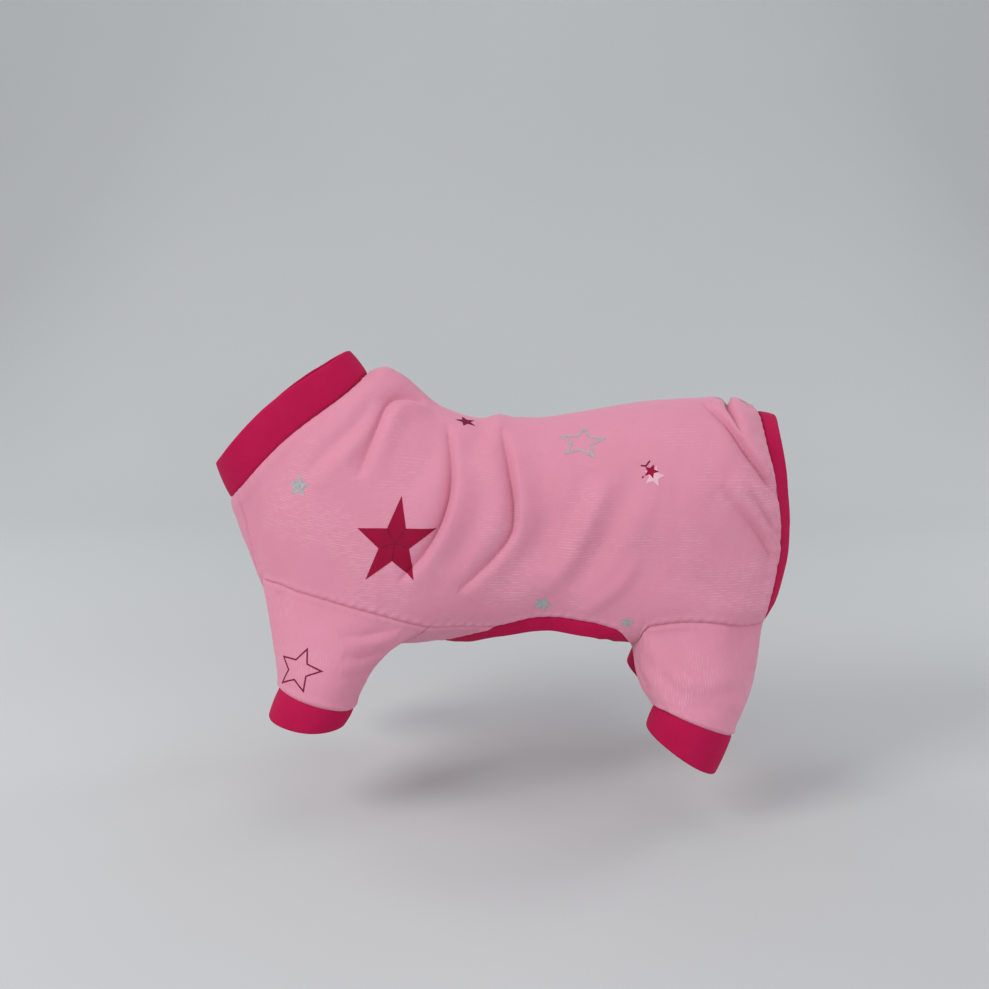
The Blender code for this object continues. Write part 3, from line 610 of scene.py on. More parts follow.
def band_piece(node, width, seam, to_free, facing, bulge, wobble, around):
    """A doubled rib band, its profile swept along its seam. facing is its ways out at the seam and at its free edge,
    bulge how far it stands out between them, and wobble how far its free edge wavers."""
    profile = band_profile(width, RIB_WALL)
    share = (profile[:, 0] / width)[:, None, None]
    depth = profile[:, 1][:, None, None]
    out = unit((1 - share) * facing[0] + share * facing[1])
    lift = bulge * np.sin(math.pi * np.clip(share, 0, 1)) + wobble[None, :, None] * share - depth
    points = seam + share * to_free + lift * out
    uv = 1000 * np.stack(np.broadcast_arrays((share * width)[:, :, 0], around[None, :]), axis=-1)
    rows, columns = points.shape[:2]
    side = np.cross(points[1] - points[0], np.roll(points[0], -1, axis=0) - points[0])
    flip = float((side * (points[0] - points.mean(axis=0))).sum()) < 0
    vertices, places = quads(rows + 1, columns, columns, 0, flip)
    loop_uv = uv[places[..., 0] % rows, places[..., 1]].reshape(-1, 2)
    faces = (vertices % (rows * columns)).tolist()
    piece = mesh_from(node + "_rib", points.reshape(-1, 3), faces, loop_uv, RIB)
    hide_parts(node)


# Materials
def tree_of(name):
    material = bpy.data.materials.new(name)
    material.use_nodes = True
    return material, material.node_tree, material.node_tree.nodes["Principled BSDF"]


def set_inputs(tree, node, inputs):
    """Joins a node's inputs to sockets, or sets them to values. Names use _ for spaces, and i6 is the input at 6."""
    for key, value in inputs.items():
        socket = node.inputs[int(key[1:]) if key[1:].isdigit() else key.replace("_", " ")]
        if isinstance(value, bpy.types.NodeSocket):
            tree.links.new(value, socket)
        else:
            socket.default_value = value


def add(tree, kind, settings=None, **inputs):
    node = tree.nodes.new(kind)
    for key, value in (settings or {}).items():
        setattr(node, key, value)
    set_inputs(tree, node, inputs)
    return node


def maths(tree, operation, a, b=0.0, c=0.0):
    return add(tree, "ShaderNodeMath", {"operation": operation}, i0=a, i1=b, i2=c).outputs[0]


def times(tree, a, b):
    return maths(tree, "MULTIPLY", a, b)


def times_plus(tree, a, b, c):
    return maths(tree, "MULTIPLY_ADD", a, b, c)


def wave(tree, value, pitch, phase=0.0):
    """0 to 1 and back over each pitch."""
    turned = times_plus(tree, value, 2 * math.pi / pitch, phase)
    return times_plus(tree, maths(tree, "SINE", turned), 0.5, 0.5)


def noise(tree, scale, detail=3.0, rough=0.5, vector=None):
    if vector is None:
        vector = add(tree, "ShaderNodeTexCoord").outputs["Object"]
    node = add(tree, "ShaderNodeTexNoise", None, Vector=vector, Scale=scale, Detail=detail, Roughness=rough)
    return node.outputs["Fac"]


def ramp(tree, value, low, high, to_low=0.0, to_high=1.0):
    ends = {"From_Min": low, "From_Max": high, "To_Min": to_low, "To_Max": to_high}
    return add(tree, "ShaderNodeMapRange", None, Value=value, **ends).outputs["Result"]


def mix(tree, share, a, b):
    """Colour a where the share is 0, and b where it is 1."""
    a, b = [(*c, 1) if isinstance(c, tuple) else c for c in (a, b)]
    return add(tree, "ShaderNodeMix", {"data_type": "RGBA"}, i0=share, i6=a, i7=b).outputs[2]


def shaded(colour, factors):
    return tuple(c * f for c, f in zip(colour, factors))


def cloth_places(tree):
    """The cloth's own millimetres: along its wales, and across them."""
    layer = add(tree, "ShaderNodeUVMap", {"uv_map": "cloth"})
    apart = add(tree, "ShaderNodeSeparateXYZ", None, Vector=layer.outputs["UV"])
    return apart.outputs["X"], apart.outputs["Y"]


def knit_of(tree, pitch, slant, course, ridge_share):
    """The knit's ridges, and its height: the ridges with small slanting stitches on them."""
    along, across = cloth_places(tree)
    ridges = wave(tree, across, pitch)
    stitches = wave(tree, times_plus(tree, ridges, slant, along), course)
    height = maths(tree, "ADD", times(tree, ridges, ridge_share), times(tree, stitches, 1 - ridge_share))
    return ridges, height


def yarn_colour(tree, colour, mottled, dark_fibres_and_shade, mottle, fibre):
    """A colour with soft patches and darker fibres. mottle is (scale, threshold, strength), and fibre (scale,
    strength)."""
    patches = ramp(tree, noise(tree, mottle[0], 4.0, 0.6), mottle[1], 1 - mottle[1])
    fibres = ramp(tree, noise(tree, fibre[0], 2.0), 0.30, 0.70)
    base = mix(tree, times(tree, patches, mottle[2]), colour, mottled)
    return mix(tree, times(tree, fibres, fibre[1]), base, dark_fibres_and_shade)


def finish(tree, shader, base, height, strength, distance, **inputs):
    """Gives a material its colour, its fine relief and its other inputs."""
    bump = add(tree, "ShaderNodeBump", None, Strength=strength, Distance=distance, Height=height)
    set_inputs(tree, shader, {"Base_Color": base, "Normal": bump.outputs["Normal"], **inputs})


def jersey(name, plain_top, line_strength):
    material, tree, shader = tree_of(name)
    along, across = cloth_places(tree)
    # the pale wales that show in patches, but not within plain_top of the line where across is 0
    drifted = times_plus(tree, noise(tree, 45.0, 2.0), 1.3, across)
    lines = ramp(tree, wave(tree, drifted, LINE_PITCH, 0.5 * math.pi), 0.40, 0.95)
    patches = ramp(tree, noise(tree, 21.0, 2.0), 0.44, 0.60)
    row = maths(tree, "FLOOR", times_plus(tree, drifted, 1 / LINE_PITCH, 0.5))
    dash = add(tree, "ShaderNodeCombineXYZ", None, X=times(tree, along, 0.20), Y=times(tree, row, 5.3))
    broken = ramp(tree, noise(tree, 1.0, 1.0, 0.5, dash.outputs["Vector"]), 0.42, 0.58, 0.10, 1.0)
    aside = ramp(tree, maths(tree, "ABSOLUTE", across), plain_top, plain_top + 25, 0.0, line_strength)
    shown = times(tree, times(tree, lines, patches), times(tree, broken, aside))
    pale = tuple(0.55 * c + 0.45 for c in PINK)
    # a darker pink, for the darker fibres and for the painted shade between the stitches
    dark_fibres_and_shade = shaded(PINK, (0.88, 0.76, 0.80))
    base = yarn_colour(tree, PINK, COOL_PINK, dark_fibres_and_shade, (34.0, 0.30, 0.20), (2600.0, 0.20))
    base = mix(tree, shown, base, pale)
    _, stitches = knit_of(tree, WALE, 0.45 * COURSE, COURSE, 0.62)
    # painted shade: the knit's low places between its stitches are darkened
    base = mix(tree, ramp(tree, stitches, 0.0, 0.55, 0.14, 0.0), base, dark_fibres_and_shade)
    fuzz = noise(tree, 3800.0, 3.0, 0.7)
    height = maths(tree, "ADD", times(tree, stitches, 0.7), times(tree, fuzz, 0.35))
    height = maths(tree, "ADD", height, times(tree, shown, 2.4))
    sheen = {"Sheen_Weight": 0.16, "Sheen_Roughness": 0.45, "Sheen_Tint": (1.0, 0.86, 0.93, 1)}
    rough = ramp(tree, fuzz, 0.3, 0.7, 0.80, 0.92)
    finish(tree, shader, base, height, 0.42, 0.00022, Roughness=rough, Specular_IOR_Level=0.25, **sheen)
    return material


def rib(name):
    material, tree, shader = tree_of(name)
    ridges, knit = knit_of(tree, RIB_PITCH, 0.4, RIB_COURSE, 0.75)
    # a darker magenta, for the darker fibres and for the painted shade in the rib's grooves
    dark_fibres_and_shade = shaded(MAGENTA, (0.66, 0.60, 0.62))
    bright = (MAGENTA[0] * 1.18, MAGENTA[1] * 1.9 + 0.004, MAGENTA[2] * 1.35)
    base = yarn_colour(tree, MAGENTA, bright, dark_fibres_and_shade, (46.0, 0.32, 0.40), (2400.0, 0.22))
    # painted shade: the grooves between the rib's ridges are darkened
    base = mix(tree, ramp(tree, ridges, 0.0, 0.6, 0.13, 0.0), base, dark_fibres_and_shade)
    fuzz = noise(tree, 3600.0, 3.0, 0.7)
    height = maths(tree, "ADD", knit, times(tree, fuzz, 0.30))
    sheen = {"Sheen_Weight": 0.03, "Sheen_Roughness": 0.4, "Sheen_Tint": (1.0, 0.45, 0.65, 1)}
    rough = ramp(tree, fuzz, 0.3, 0.7, 0.70, 0.84)
    finish(tree, shader, base, height, 0.28, 0.00025, Roughness=rough, Specular_IOR_Level=0.12, **sheen)
    return material


def ink(name, colour, worn):
    """A thin print with a faint mottle and a fine grainy relief, worn in specks where the pink cloth colour shows."""
    material, tree, shader = tree_of(name)
    specks = ramp(tree, noise(tree, 1900.0, 3.0, 0.7), 0.66 - worn, 0.74 - worn)
    mottle = ramp(tree, noise(tree, 120.0, 3.0), 0.3, 0.7)
    base = mix(tree, times(tree, mottle, 0.5), colour, shaded(colour, (0.80, 0.80, 0.80)))
    base = mix(tree, times(tree, specks, 5 * worn), base, PINK)
    height = noise(tree, 2200.0, 3.0, 0.7)
    finish(tree, shader, base, height, 0.35, 0.0002, Roughness=0.75, Specular_IOR_Level=0.12)
    return material


def glitter(name, colour):
    """A silver print with small bright flakes."""
    material, tree, shader = tree_of(name)
    place = add(tree, "ShaderNodeTexCoord").outputs["Object"]
    cells = add(tree, "ShaderNodeTexVoronoi", None, Vector=place, Scale=1500.0)
    grey = add(tree, "ShaderNodeSeparateColor", None, Color=cells.outputs["Color"]).outputs[0]
    base = mix(tree, ramp(tree, grey, 0.0, 1.0), shaded(colour, (0.62, 0.62, 0.62)), colour)
    base = mix(tree, ramp(tree, noise(tree, 900.0, 2.0), 0.58, 0.70, 0.0, 0.45), base, PINK)
    rough = ramp(tree, grey, 0.0, 1.0, 0.30, 0.62)
    finish(tree, shader, base, grey, 0.55, 0.0002, Roughness=rough, Metallic=ramp(tree, grey, 0.35, 1.0, 0.15, 0.75))
    return material


JERSEY = jersey("jersey_body", 22.0, 0.24)
JERSEY_LEG = jersey("jersey_sleeves", -30.0, 0.30)
RIB = rib("rib_bands")


# The body's panels
def spread_columns(half, middle):
    """Places from one edge of a panel to the other, measured from its middle line, closer together by the edges."""
    plain = np.linspace(0, 1, middle + 1) * (half - SEAM_CLUSTER[0])
    edge = half - np.array(SEAM_CLUSTER[1:])
    right = np.concatenate([plain, np.broadcast_to(edge, half.shape[:-1] + edge.shape[-1:])], axis=-1)
    return np.concatenate([-right[:, :0:-1], right], axis=1)


def even(rows):
    """A count of rows that the inner face can share."""
    extra = (len(rows) - 1) % KEEP_EACH
    if extra:
        widest = np.argmax(np.diff(rows))
        rows = np.insert(rows, widest + 1, (rows[widest] + rows[widest + 1]) / 2)
    return rows


def panel_rows(breaks, counts):
    """A panel's rows, closer by the seams at its ends."""
    rows = rows_between(breaks, counts)
    close = np.array(SEAM_CLUSTER) / BODY_LENGTH
    free = close[0] + ROW_CLEARANCE
    middle = rows[(rows > free) & (rows < rows[-1] - close[0] - ROW_CLEARANCE)]
    return even(np.concatenate([close[::-1], middle, rows[-1] - close]))[:, None]


ALONG_AT = np.linspace(0, 1, 201)
SIDE_LINE = smooth_torso(ALONG_AT, 0.5 + 0 * ALONG_AT)
ALONG_RUN = line_run(SIDE_LINE)
SIDE_RISE = 0.5 * girth_length(ALONG_AT) + SIDE_LINE[:, 2]
SIDE_RISE = SIDE_RISE - SIDE_RISE[len(SIDE_RISE) // 2]
WALES_TURN_AT = 0.05
WALES_TURN_OVER = 0.35


def torso_uv(u, g):
    """The knit's wales follow the back over the top, and run level down the sides."""
    level = np.interp(u, ALONG_AT, SIDE_RISE) * smooth_step((np.abs(g) - WALES_TURN_AT) / WALES_TURN_OVER)
    across = np.where(g < 0, -1, 1) * (np.abs(g) * girth_length(u) - level)
    return 1000 * np.stack([np.interp(u, ALONG_AT, ALONG_RUN) + 0 * g, across], axis=-1)


def make_back_panel():
    rows = panel_rows(*BACK_ROWS)
    length = girth_length(rows)
    half = back_edge(rows) * length
    across = spread_columns(half, BACK_COLUMNS)
    g = across / length
    u = tail_scoop(rows, g)
    outer = torso(u, g)
    normals = torso_normal(u, g)
    lift = seam_profile(half - np.abs(across), run_of(outer, 0), 0.4, np.where(rows < SIDE_SEAM_END, 1.25, 1.0))
    over = run_of(outer, 1)
    neck = rows * BODY_LENGTH
    lift = lift + seam_profile(neck, over, 1.1) + gathers(neck, over, 0.00030, 0.007, *BACK_GATHERS)
    tail = (1 - rows) * BODY_LENGTH
    lift = lift + seam_profile(tail, over, 2.3) + gathers(tail, over, 0.00035, 0.006, *BACK_GATHERS)
    outer = outer + lift[..., None] * normals
    return cloth_piece("back_panel", outer, normals, torso_uv(u, g), JERSEY, False)


def make_chest_panel():
    rows = panel_rows((0, *FRONT_HOLE, SIDE_SEAM_END), (24, 60, 24))
    length = girth_length(rows)
    half = (1 - inner_edge(rows, FRONT_HOLE, FRONT_HOLE_DEPTH)) * length
    distance = spread_columns(half, CHEST_COLUMNS)
    across = distance / half
    g = np.where(across < 0, -1, 1) * (1 - np.abs(distance) / length)
    u = chest_scoop(rows, across)
    outer = torso(u, g)
    normals = torso_normal(u, g)
    normals[:, distance.shape[1] // 2, 1] = 0
    normals = unit(normals)
    over = run_of(outer, 1)
    lift = seam_profile(half - np.abs(distance), run_of(outer, 0), 0.9)
    lift = lift + seam_profile(rows * BODY_LENGTH, over, 1.1)
    lift = lift + seam_profile((SIDE_SEAM_END - rows) * BODY_LENGTH, over, 1.9)
    outer = outer + lift[..., None] * normals
    uv = 1000 * np.stack([np.interp(u, ALONG_AT, ALONG_RUN), distance], axis=-1)
    cloth_piece("chest_panel", outer, normals, uv, JERSEY, False)


# Sleeves and cuffs
def ring(centre, radius, pitch, splay, side, turn):
    pitch, splay = math.radians(pitch), math.radians(splay)
    forward = np.array([-math.cos(pitch), 0, math.sin(pitch)])
    outward = np.array([0, side * math.cos(splay), math.sin(splay)])
    arms = np.cos(turn)[:, None] * forward + np.sin(turn)[:, None] * outward
    return centre + radius * arms, arms


def cuff_rings(leg, side, turn):
    """The cuff's seam and its free edge, each as points and ways out."""
    centre = np.array([leg["x"] * BODY_LENGTH, side * leg["y"] * BODY_WIDTH / 2, leg["z"] * BODY_DEPTH])
    lean, spread = math.radians(leg["lean"]), math.radians(leg["spread"])
    down = unit(np.array([-math.tan(lean), side * math.tan(spread), -1]))
    radius = leg["cuff_radius"]
    seam = ring(centre, radius, leg["seam_pitch"], leg["seam_splay"], side, turn)
    free_centre = centre + leg["cuff_height"] * down
    return seam, ring(free_centre, radius, leg["free_pitch"], leg["free_splay"], side, turn)


def hole_loop(rows, hole, depth):
    back = rows[::-1][1:-1]
    u = np.concatenate([rows, back])
    g = np.concatenate([back_edge(rows), inner_edge(back, hole, depth)])
    return tail_scoop(u, g), g


def turns_of(points):
    steps = np.linalg.norm(np.roll(points, -1, axis=0) - points, axis=1).reshape(2, -1)
    halves = (np.cumsum(steps, axis=1) - steps) / steps.sum(axis=1, keepdims=True)
    return (math.pi * (halves + [[0], [1]])).ravel()


def sleeve_surface(leg, side, v):
    """A sleeve's base surface, its normals and the turn of each column."""
    u, g = hole_loop(rows_between(*leg["hole_rows"]), leg["hole"], leg["hole_depth"])
    start = torso(u, side * g)
    turn = turns_of(smooth_torso(u, side * g))
    (end, arms), _ = cuff_rings(leg, side, turn)
    straight = end - start
    length = np.linalg.norm(straight, axis=1, keepdims=True)
    table = np.array(leg["pulls"], float)
    pulls = read_between(np.radians(table[:, 0]), table[:, 1:], turn) * length
    sides = np.array([1, side, 1])
    leave = straight + pulls[:, :3] * sides
    meet = straight + pulls[:, 3:] * sides - BILLOW * length * arms
    v = v[:, None, None]
    starting, leaving, ending, meeting = curve_weights(v)
    outer = starting * start + leaving * leave + ending * end + meeting * meet
    from_torso = smooth_step(1 + 2 * np.sin(turn))[:, None] * (1 - smooth_step(v / SEAM_REACH))
    normals = unit(from_torso * torso_normal(u, side * g) + (1 - from_torso) * tube_normals(outer))
    return outer, normals, turn


def surface_place(outer, turn, v, at_turn, at_v):
    """Points of a sleeve at turns in degrees and shares of its length."""
    columns = np.interp(at_turn, np.degrees(turn), np.arange(len(turn)))
    rows = np.interp(at_v, v, np.arange(len(v)))
    return outer[np.round(rows).astype(int), np.round(columns).astype(int)]


def off_turn(turn, degrees):
    """How many degrees each turn is away from the one given."""
    return np.abs((np.degrees(turn) - degrees + 180) % 360 - 180)


def make_sleeve(place, word, side):
    leg = LEGS[place]
    ends = np.array(SEAM_CLUSTER) / leg["length"]
    v = even(np.concatenate([ends[::-1], np.linspace(ends[0], 1 - ends[0], SLEEVE_ROWS)[1:-1], 1 - ends]))
    outer, normals, turn = sleeve_surface(leg, side, v)
    moves = np.zeros(outer.shape)
    for fold in SLEEVE_FOLDS[place]:
        line = surface_place(outer, turn, v, *fold_path(fold))
        for _ in range(LINE_PASSES):
            line[1:-1] = (line[:-2] + 2 * line[1:-1] + line[2:]) / 4
        moves = moves + SLEEVE_STRENGTH[side] * fold_move(outer, normals, line, fold)
    around = run_of(outer, 1)
    top = run_of(outer, 0)
    bottom = top[-1:] - top
    lift = cloth_ripples(outer) * (1 - smooth_step(1 - v / SLEEVE_RIPPLES_FROM))[:, None]
    lift = lift + seam_profile(top, around, 0.4 + side, 0.7)
    hem = HEM_ROLL * bell(bottom - HEM_ROLL_AT, HEM_ROLL_WIDTH) - SEAM_DIP * bell(bottom, HEM_GROOVE, SEAM_EDGE)
    lift = lift + hem + gathers(bottom, around, 0.00024, 0.006, *SLEEVE_GATHERS, side)
    inseam = off_turn(turn, INSEAM) / 360 * (around[:, -1:] + 0.001)
    lift = lift + 0.5 * seam_profile(inseam + 0.0002, top, 0.7, 0.8) * smooth_step((v - 0.02) / 0.05)[:, None]
    outer = outer + moves + lift[..., None] * normals
    # the cloth is cut open at its inner seam, so its columns start there
    cut = int(np.argmin(np.abs(np.degrees(turn) - INSEAM)))
    outer, normals = np.roll(outer, -cut, axis=1), np.roll(normals, -cut, axis=1)
    whole = np.concatenate([outer, outer[:, :1]], axis=1)
    ring_run = run_of(whole, 1)
    uv = 1000 * np.stack([run_of(whole, 0), ring_run - ring_run[:, -1:] / 2], axis=-1)
    node = f"{place}_sleeve_{word}"
    piece = cloth_piece(node, outer, normals, uv, JERSEY_LEG, True)
    return piece, (outer, normals, np.roll(turn, -cut), v)


def make_cuff(place, word, side):
    leg = LEGS[place]
    height = leg["cuff_height"]
    turn = np.linspace(0, 2 * math.pi, CUFF_COLUMNS, endpoint=False)
    (seam, arms), (free, free_arms) = cuff_rings(leg, side, turn)
    wobble = 0.00022 * np.sin(5 * turn + side)
    around = np.linspace(0, 2 * math.pi * leg["cuff_radius"], CUFF_COLUMNS + 1)
    node = f"{place}_cuff_{word}"
    band_piece(node, height, seam, free - seam, (arms, free_arms), 0.0005, wobble, around)


# The neck band and the binding
def loop_run(points):
    """The distance along a closed line, with its whole length at the end."""
    return line_run(np.concatenate([points, points[:1]]))


def make_neck_band():
    g = np.linspace(-1, 1, NECK_COLUMNS, endpoint=False)
    seam = torso(np.zeros(NECK_COLUMNS), g)
    lean = np.radians(NECK_LEAN_TOP + (NECK_LEAN_KEEL - NECK_LEAN_TOP) * np.abs(g))
    along = np.stack([-np.sin(lean), 0 * g, np.cos(lean)], axis=-1)
    from_middle = seam - seam.mean(axis=0)
    reach = (NECK_BAND_WIDTH + NECK_BAND_BOW * (1 - (1 - np.abs(g)) ** NECK_WIDENING))[:, None]
    to_free = reach * along - NECK_DRAW * from_middle * [0, 1, 0]
    tangent = np.roll(seam, -1, axis=0) - np.roll(seam, 1, axis=0)
    out = unit(np.cross(to_free, tangent))
    out = out * np.sign((out * from_middle).sum())
    wobble = 0.0004 * ripple(seam, SLOW_RIPPLES)
    band_piece("neck_band", NECK_BAND_WIDTH, seam, to_free, (out, out), 0.0006, wobble, loop_run(seam))


def smooth_loop(values, passes):
    for _ in range(passes):
        values = (np.roll(values, 1, axis=0) + 2 * values + np.roll(values, -1, axis=0)) / 4
    return values


def closer(values):
    """Each step between the values cut up, without the last value."""
    share = np.arange(BINDING_CUTS) / BINDING_CUTS
    return (values[:-1, None] + np.diff(values)[:, None] * share).ravel()


def opening_loop():
    """The edge of the opening as shares (u, g) and as how far the binding curls in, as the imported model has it."""
    across = closer(np.linspace(-1, 1, CHEST_STEPS + 1))
    chest_g = np.where(across < 0, -1, 1) * (1 - (1 - back_edge(SIDE_SEAM_END)) * np.abs(across))
    belly = closer(np.linspace(SIDE_SEAM_END, HIND_HOLE[0], BELLY_STEPS + 1))
    thigh = closer(rows_between(THIGH_BREAKS, (2, 10)))
    side_u = np.concatenate([belly, thigh])
    side_g = np.concatenate([back_edge(belly), inner_edge(thigh, HIND_HOLE, HIND_HOLE_DEPTH)])
    side_curl = np.where(side_u < HIND_HOLE[0], BELLY_CURL, THIGH_CURL)
    tail_g = closer(np.linspace(1, -1, TAIL_STEPS + 1) * back_edge(1))
    turned = smooth_step((np.abs(tail_g) - TAIL_CURL_TURN[0]) / (TAIL_CURL_TURN[1] - TAIL_CURL_TURN[0]))
    tail_curl = TAIL_CURL_TOP + (TAIL_CURL_SIDE - TAIL_CURL_TOP) * turned
    u = np.concatenate([chest_scoop(SIDE_SEAM_END, across), side_u, np.ones(len(tail_g)), side_u[::-1]])
    g = np.concatenate([chest_g, side_g, tail_g, -side_g[::-1]])
    curl = np.concatenate([across * 0 + BELLY_CURL, side_curl, tail_curl, side_curl[::-1]])
    return tail_scoop(u, g), g, np.radians(curl)


def make_binding():
    u, g, curl = opening_loop()
    smooth = smooth_torso(u, g)
    normals = torso_normal(np.minimum(u, BINDING_AIM), g)
    tangent = np.roll(smooth, -1, axis=0) - np.roll(smooth, 1, axis=0)
    passes = BINDING_SMOOTHING * BINDING_CUTS**2
    away = unit(smooth_loop(unit(np.cross(normals, tangent)), passes))
    curl = smooth_loop(curl, passes)[:, None]
    reach = BINDING_WIDTH * (np.cos(curl) * away - np.sin(curl) * normals)
    facing = (normals, np.cos(curl) * normals + np.sin(curl) * away)
    edge = smooth + smooth_loop(torso(u, g) - smooth, BINDING_EASE)
    # the loop turns sharply at the side seams' ends, so the binding is rounded there
    at = np.arange(len(u))
    from_corner = np.minimum.reduce([at, len(u) - at, np.abs(at - CHEST_STEPS * BINDING_CUTS)])
    rounded = bell(from_corner, CORNER_STEPS * BINDING_CUTS)[:, None]
    edge = edge + rounded * (smooth_loop(edge, CORNER_PASSES) - edge)
    wobble = 0.00025 * ripple(edge, CREASES)
    band_piece("opening_binding", BINDING_WIDTH, edge, reach, facing, 0.00035, wobble, loop_run(edge))


back_panel = make_back_panel()
make_chest_panel()
make_neck_band()
make_binding()
sleeves = {}
for side, word in ((-1, "left"), (1, "right")):
    for place in ("front", "hind"):
        sleeves[place, word] = make_sleeve(place, word, side)
        make_cuff(place, word, side)


# Printed stars
def tree_for(piece):
    mesh = piece.data
    return BVHTree.FromPolygons([v.co for v in mesh.vertices], [tuple(p.vertices) for p in mesh.polygons])


TREES = {"body": tree_for(back_panel)}
for key, (piece, _) in sleeves.items():
    TREES[key] = tree_for(piece)


def print_frame(where, place):
    """The middle of a print on its piece, with the ways right, up and out for someone who looks at that side."""
    if where == "body":
        middle, out = smooth_torso(*place), torso_normal(*place)
    else:
        _, (outer, normals, turn, v) = sleeves[where]
        row = int(np.argmin(np.abs(v - place[1])))
        column = int(np.argmin(off_turn(turn, place[0])))
        middle, out = outer[row, column], normals[row, column]
    way = np.array([0.0, 0.0, 1.0])
    if abs(out[2]) > LEVEL_CLOTH:
        way = np.array([0.0, 1.0 if middle[1] < 0 else -1.0, 0.0])
    up = unit(way - out * (way @ out))
    return middle, unit(np.cross(up, out)), up, out


def star_outline(radius, inner, turn, squeeze=(1.0, 1.0), slant=0.0):
    """The ten corners of a star, its first tip turned clockwise from up, in degrees."""
    corners = []
    for i in range(10):
        reach = radius if i % 2 == 0 else radius * inner
        a = math.radians(turn + 36 * i)
        x, y = reach * math.sin(a), reach * math.cos(a)
        corners.append(((x + slant * y) * squeeze[0], y * squeeze[1]))
    return np.array(corners)


def filled(corners, cuts):
    """Small triangles that fill a star from its middle."""
    points, faces = [], []
    for i in range(len(corners)):
        a, b = corners[i], corners[(i + 1) % len(corners)]
        index = {}
        for r in range(cuts + 1):
            for c in range(r + 1):
                index[r, c] = len(points)
                across = c / r if r else 0.0
                points.append((a + (b - a) * across) * (r / cuts))
        for r in range(cuts):
            for c in range(r + 1):
                faces.append((index[r, c], index[r + 1, c + 1], index[r + 1, c]))
                if c < r:
                    faces.append((index[r, c], index[r, c + 1], index[r + 1, c + 1]))
    return np.array(points), faces


def strokes(rows, cuts):
    """Lines drawn as thin quads. A row is a line's two ends, and how far each of them reaches to its sides."""
    points, faces = [], []
    for start, end, start_off, end_off in rows:
        base = len(points)
        for k in range(cuts + 1):
            f = k / cuts
            middle = start + (end - start) * f
            off = start_off * (1 - f) + end_off * f
            points.extend([middle + off, middle - off])
        for k in range(cuts):
            a = base + 2 * k
            faces.append((a, a + 1, a + 3, a + 2))
    return np.array(points), faces


def stroked(corners, width, cuts):
    """A line of the given width along a star's outline, mitred at its corners."""
    after = np.roll(corners, -1, axis=0)
    ahead = unit(after - corners)
    normals = np.stack([ahead[:, 1], -ahead[:, 0]], axis=-1)
    mitre = unit(normals + np.roll(normals, 1, axis=0))
    mitre = mitre * (width / 2 / np.maximum((mitre * normals).sum(axis=1), SHARPEST_MITRE))[:, None]
    return strokes(list(zip(corners, after, mitre, np.roll(mitre, -1, axis=0))), cuts)


def bars(pairs, width, cuts):
    """Straight strokes between pairs of points."""
    rows = []
    for a, b in pairs:
        a, b = np.array(a), np.array(b)
        way = unit(b - a)
        off = np.array([way[1], -way[0]]) * width / 2
        rows.append((a, b, off, off))
    return strokes(rows, cuts)


def lay_print(where, place, shape, lift):
    """A flat shape laid on the cloth. Faces with a corner off the cloth are left out."""
    points, faces = shape
    middle, right, up, out = print_frame(where, place)
    laid, found = [], []
    for x, y in points:
        above = middle + x * right + y * up + PRINT_ABOVE * out
        hit, normal, _, _ = TREES[where].ray_cast(Vector(above), Vector(-out), PRINT_DROP)
        found.append(hit is not None)
        laid.append(hit + lift * normal if hit is not None else Vector(middle))
    kept = [f for f in faces if all(found[i] for i in f)]
    return np.array([tuple(p) for p in laid]), kept


def print_piece(name, layers, material):
    points, faces = [], []
    base = 0
    for layer in layers:
        laid, kept = lay_print(*layer)
        points.append(laid)
        faces.extend([tuple(i + base for i in f) for f in kept])
        base += len(laid)
    used = sorted({i for f in faces for i in f})
    renumbered = {old: new for new, old in enumerate(used)}
    faces = [tuple(renumbered[i] for i in f) for f in faces]
    points = np.concatenate(points)[used]
    loops = np.concatenate([points[list(f)][:, (0, 2)] * 1000 for f in faces])
    piece = mesh_from(name, points, faces, loops, material)


def star(where, place, radius, inner, turn, cuts=8, line=0.0, squeeze=(1.0, 1.0), slant=0.0, lift=1.0):
    """A star at its place, filled, or drawn with a line of the given width. lift is in times PRINT_LIFT."""
    corners = star_outline(radius, inner, turn, squeeze, slant)
    shape = stroked(corners, line, cuts) if line else filled(corners, cuts)
    return where, place, shape, lift * PRINT_LIFT


PRINT_LIFT = 0.00016
PRINT_ABOVE = 0.012  # a print is dropped onto the cloth from this height, and by PRINT_DROP at most
PRINT_DROP = 0.03
LEVEL_CLOTH = 0.85  # where the cloth lies this level, a print's up is away from the side it is seen from
SHARPEST_MITRE = 0.38
BIG_STAR = (0.274, -0.463)
SMALL_STAR = (0.757, -0.290)
BIG_STAR_FORM = {"squeeze": (0.93, 1.05), "slant": 0.16}

# Each print: the piece, its place (along and around the body, or turn and share of a sleeve) and its form
solid = [
    star("body", BIG_STAR, 0.0268, 0.39, 0, 30, **BIG_STAR_FORM),
    star("body", SMALL_STAR, 0.0046, 0.46, 20, 7, lift=1.6),
    star("body", (0.440, 0.330), 0.0258, 0.40, -14, 24),
    star("body", (0.860, 0.480), 0.0120, 0.40, 30, 12),
    star("body", (0.170, 0.250), 0.0085, 0.42, 12),
    star(("hind", "right"), (100, 0.45), 0.0070, 0.42, 15),
]
print_piece("stars_magenta", solid, ink("print_magenta", (0.330, 0.004, 0.040), 0.02))
inner_corners = star_outline(0.0268, 0.39, 0, **BIG_STAR_FORM)[1::2]
# painted shade: thin dark lines from the big star's middle to its inner corners, along the lines where its facets
# meet
star_facet_shade_lines = [((0, 0), tuple(corner * 0.97)) for corner in inner_corners]
scratches = [
    ((-0.0062, 0.0036), (-0.0030, 0.0034)),
    ((-0.0034, 0.0030), (-0.0008, 0.0066)),
    ((-0.0052, -0.0040), (-0.0044, -0.0030)),
]
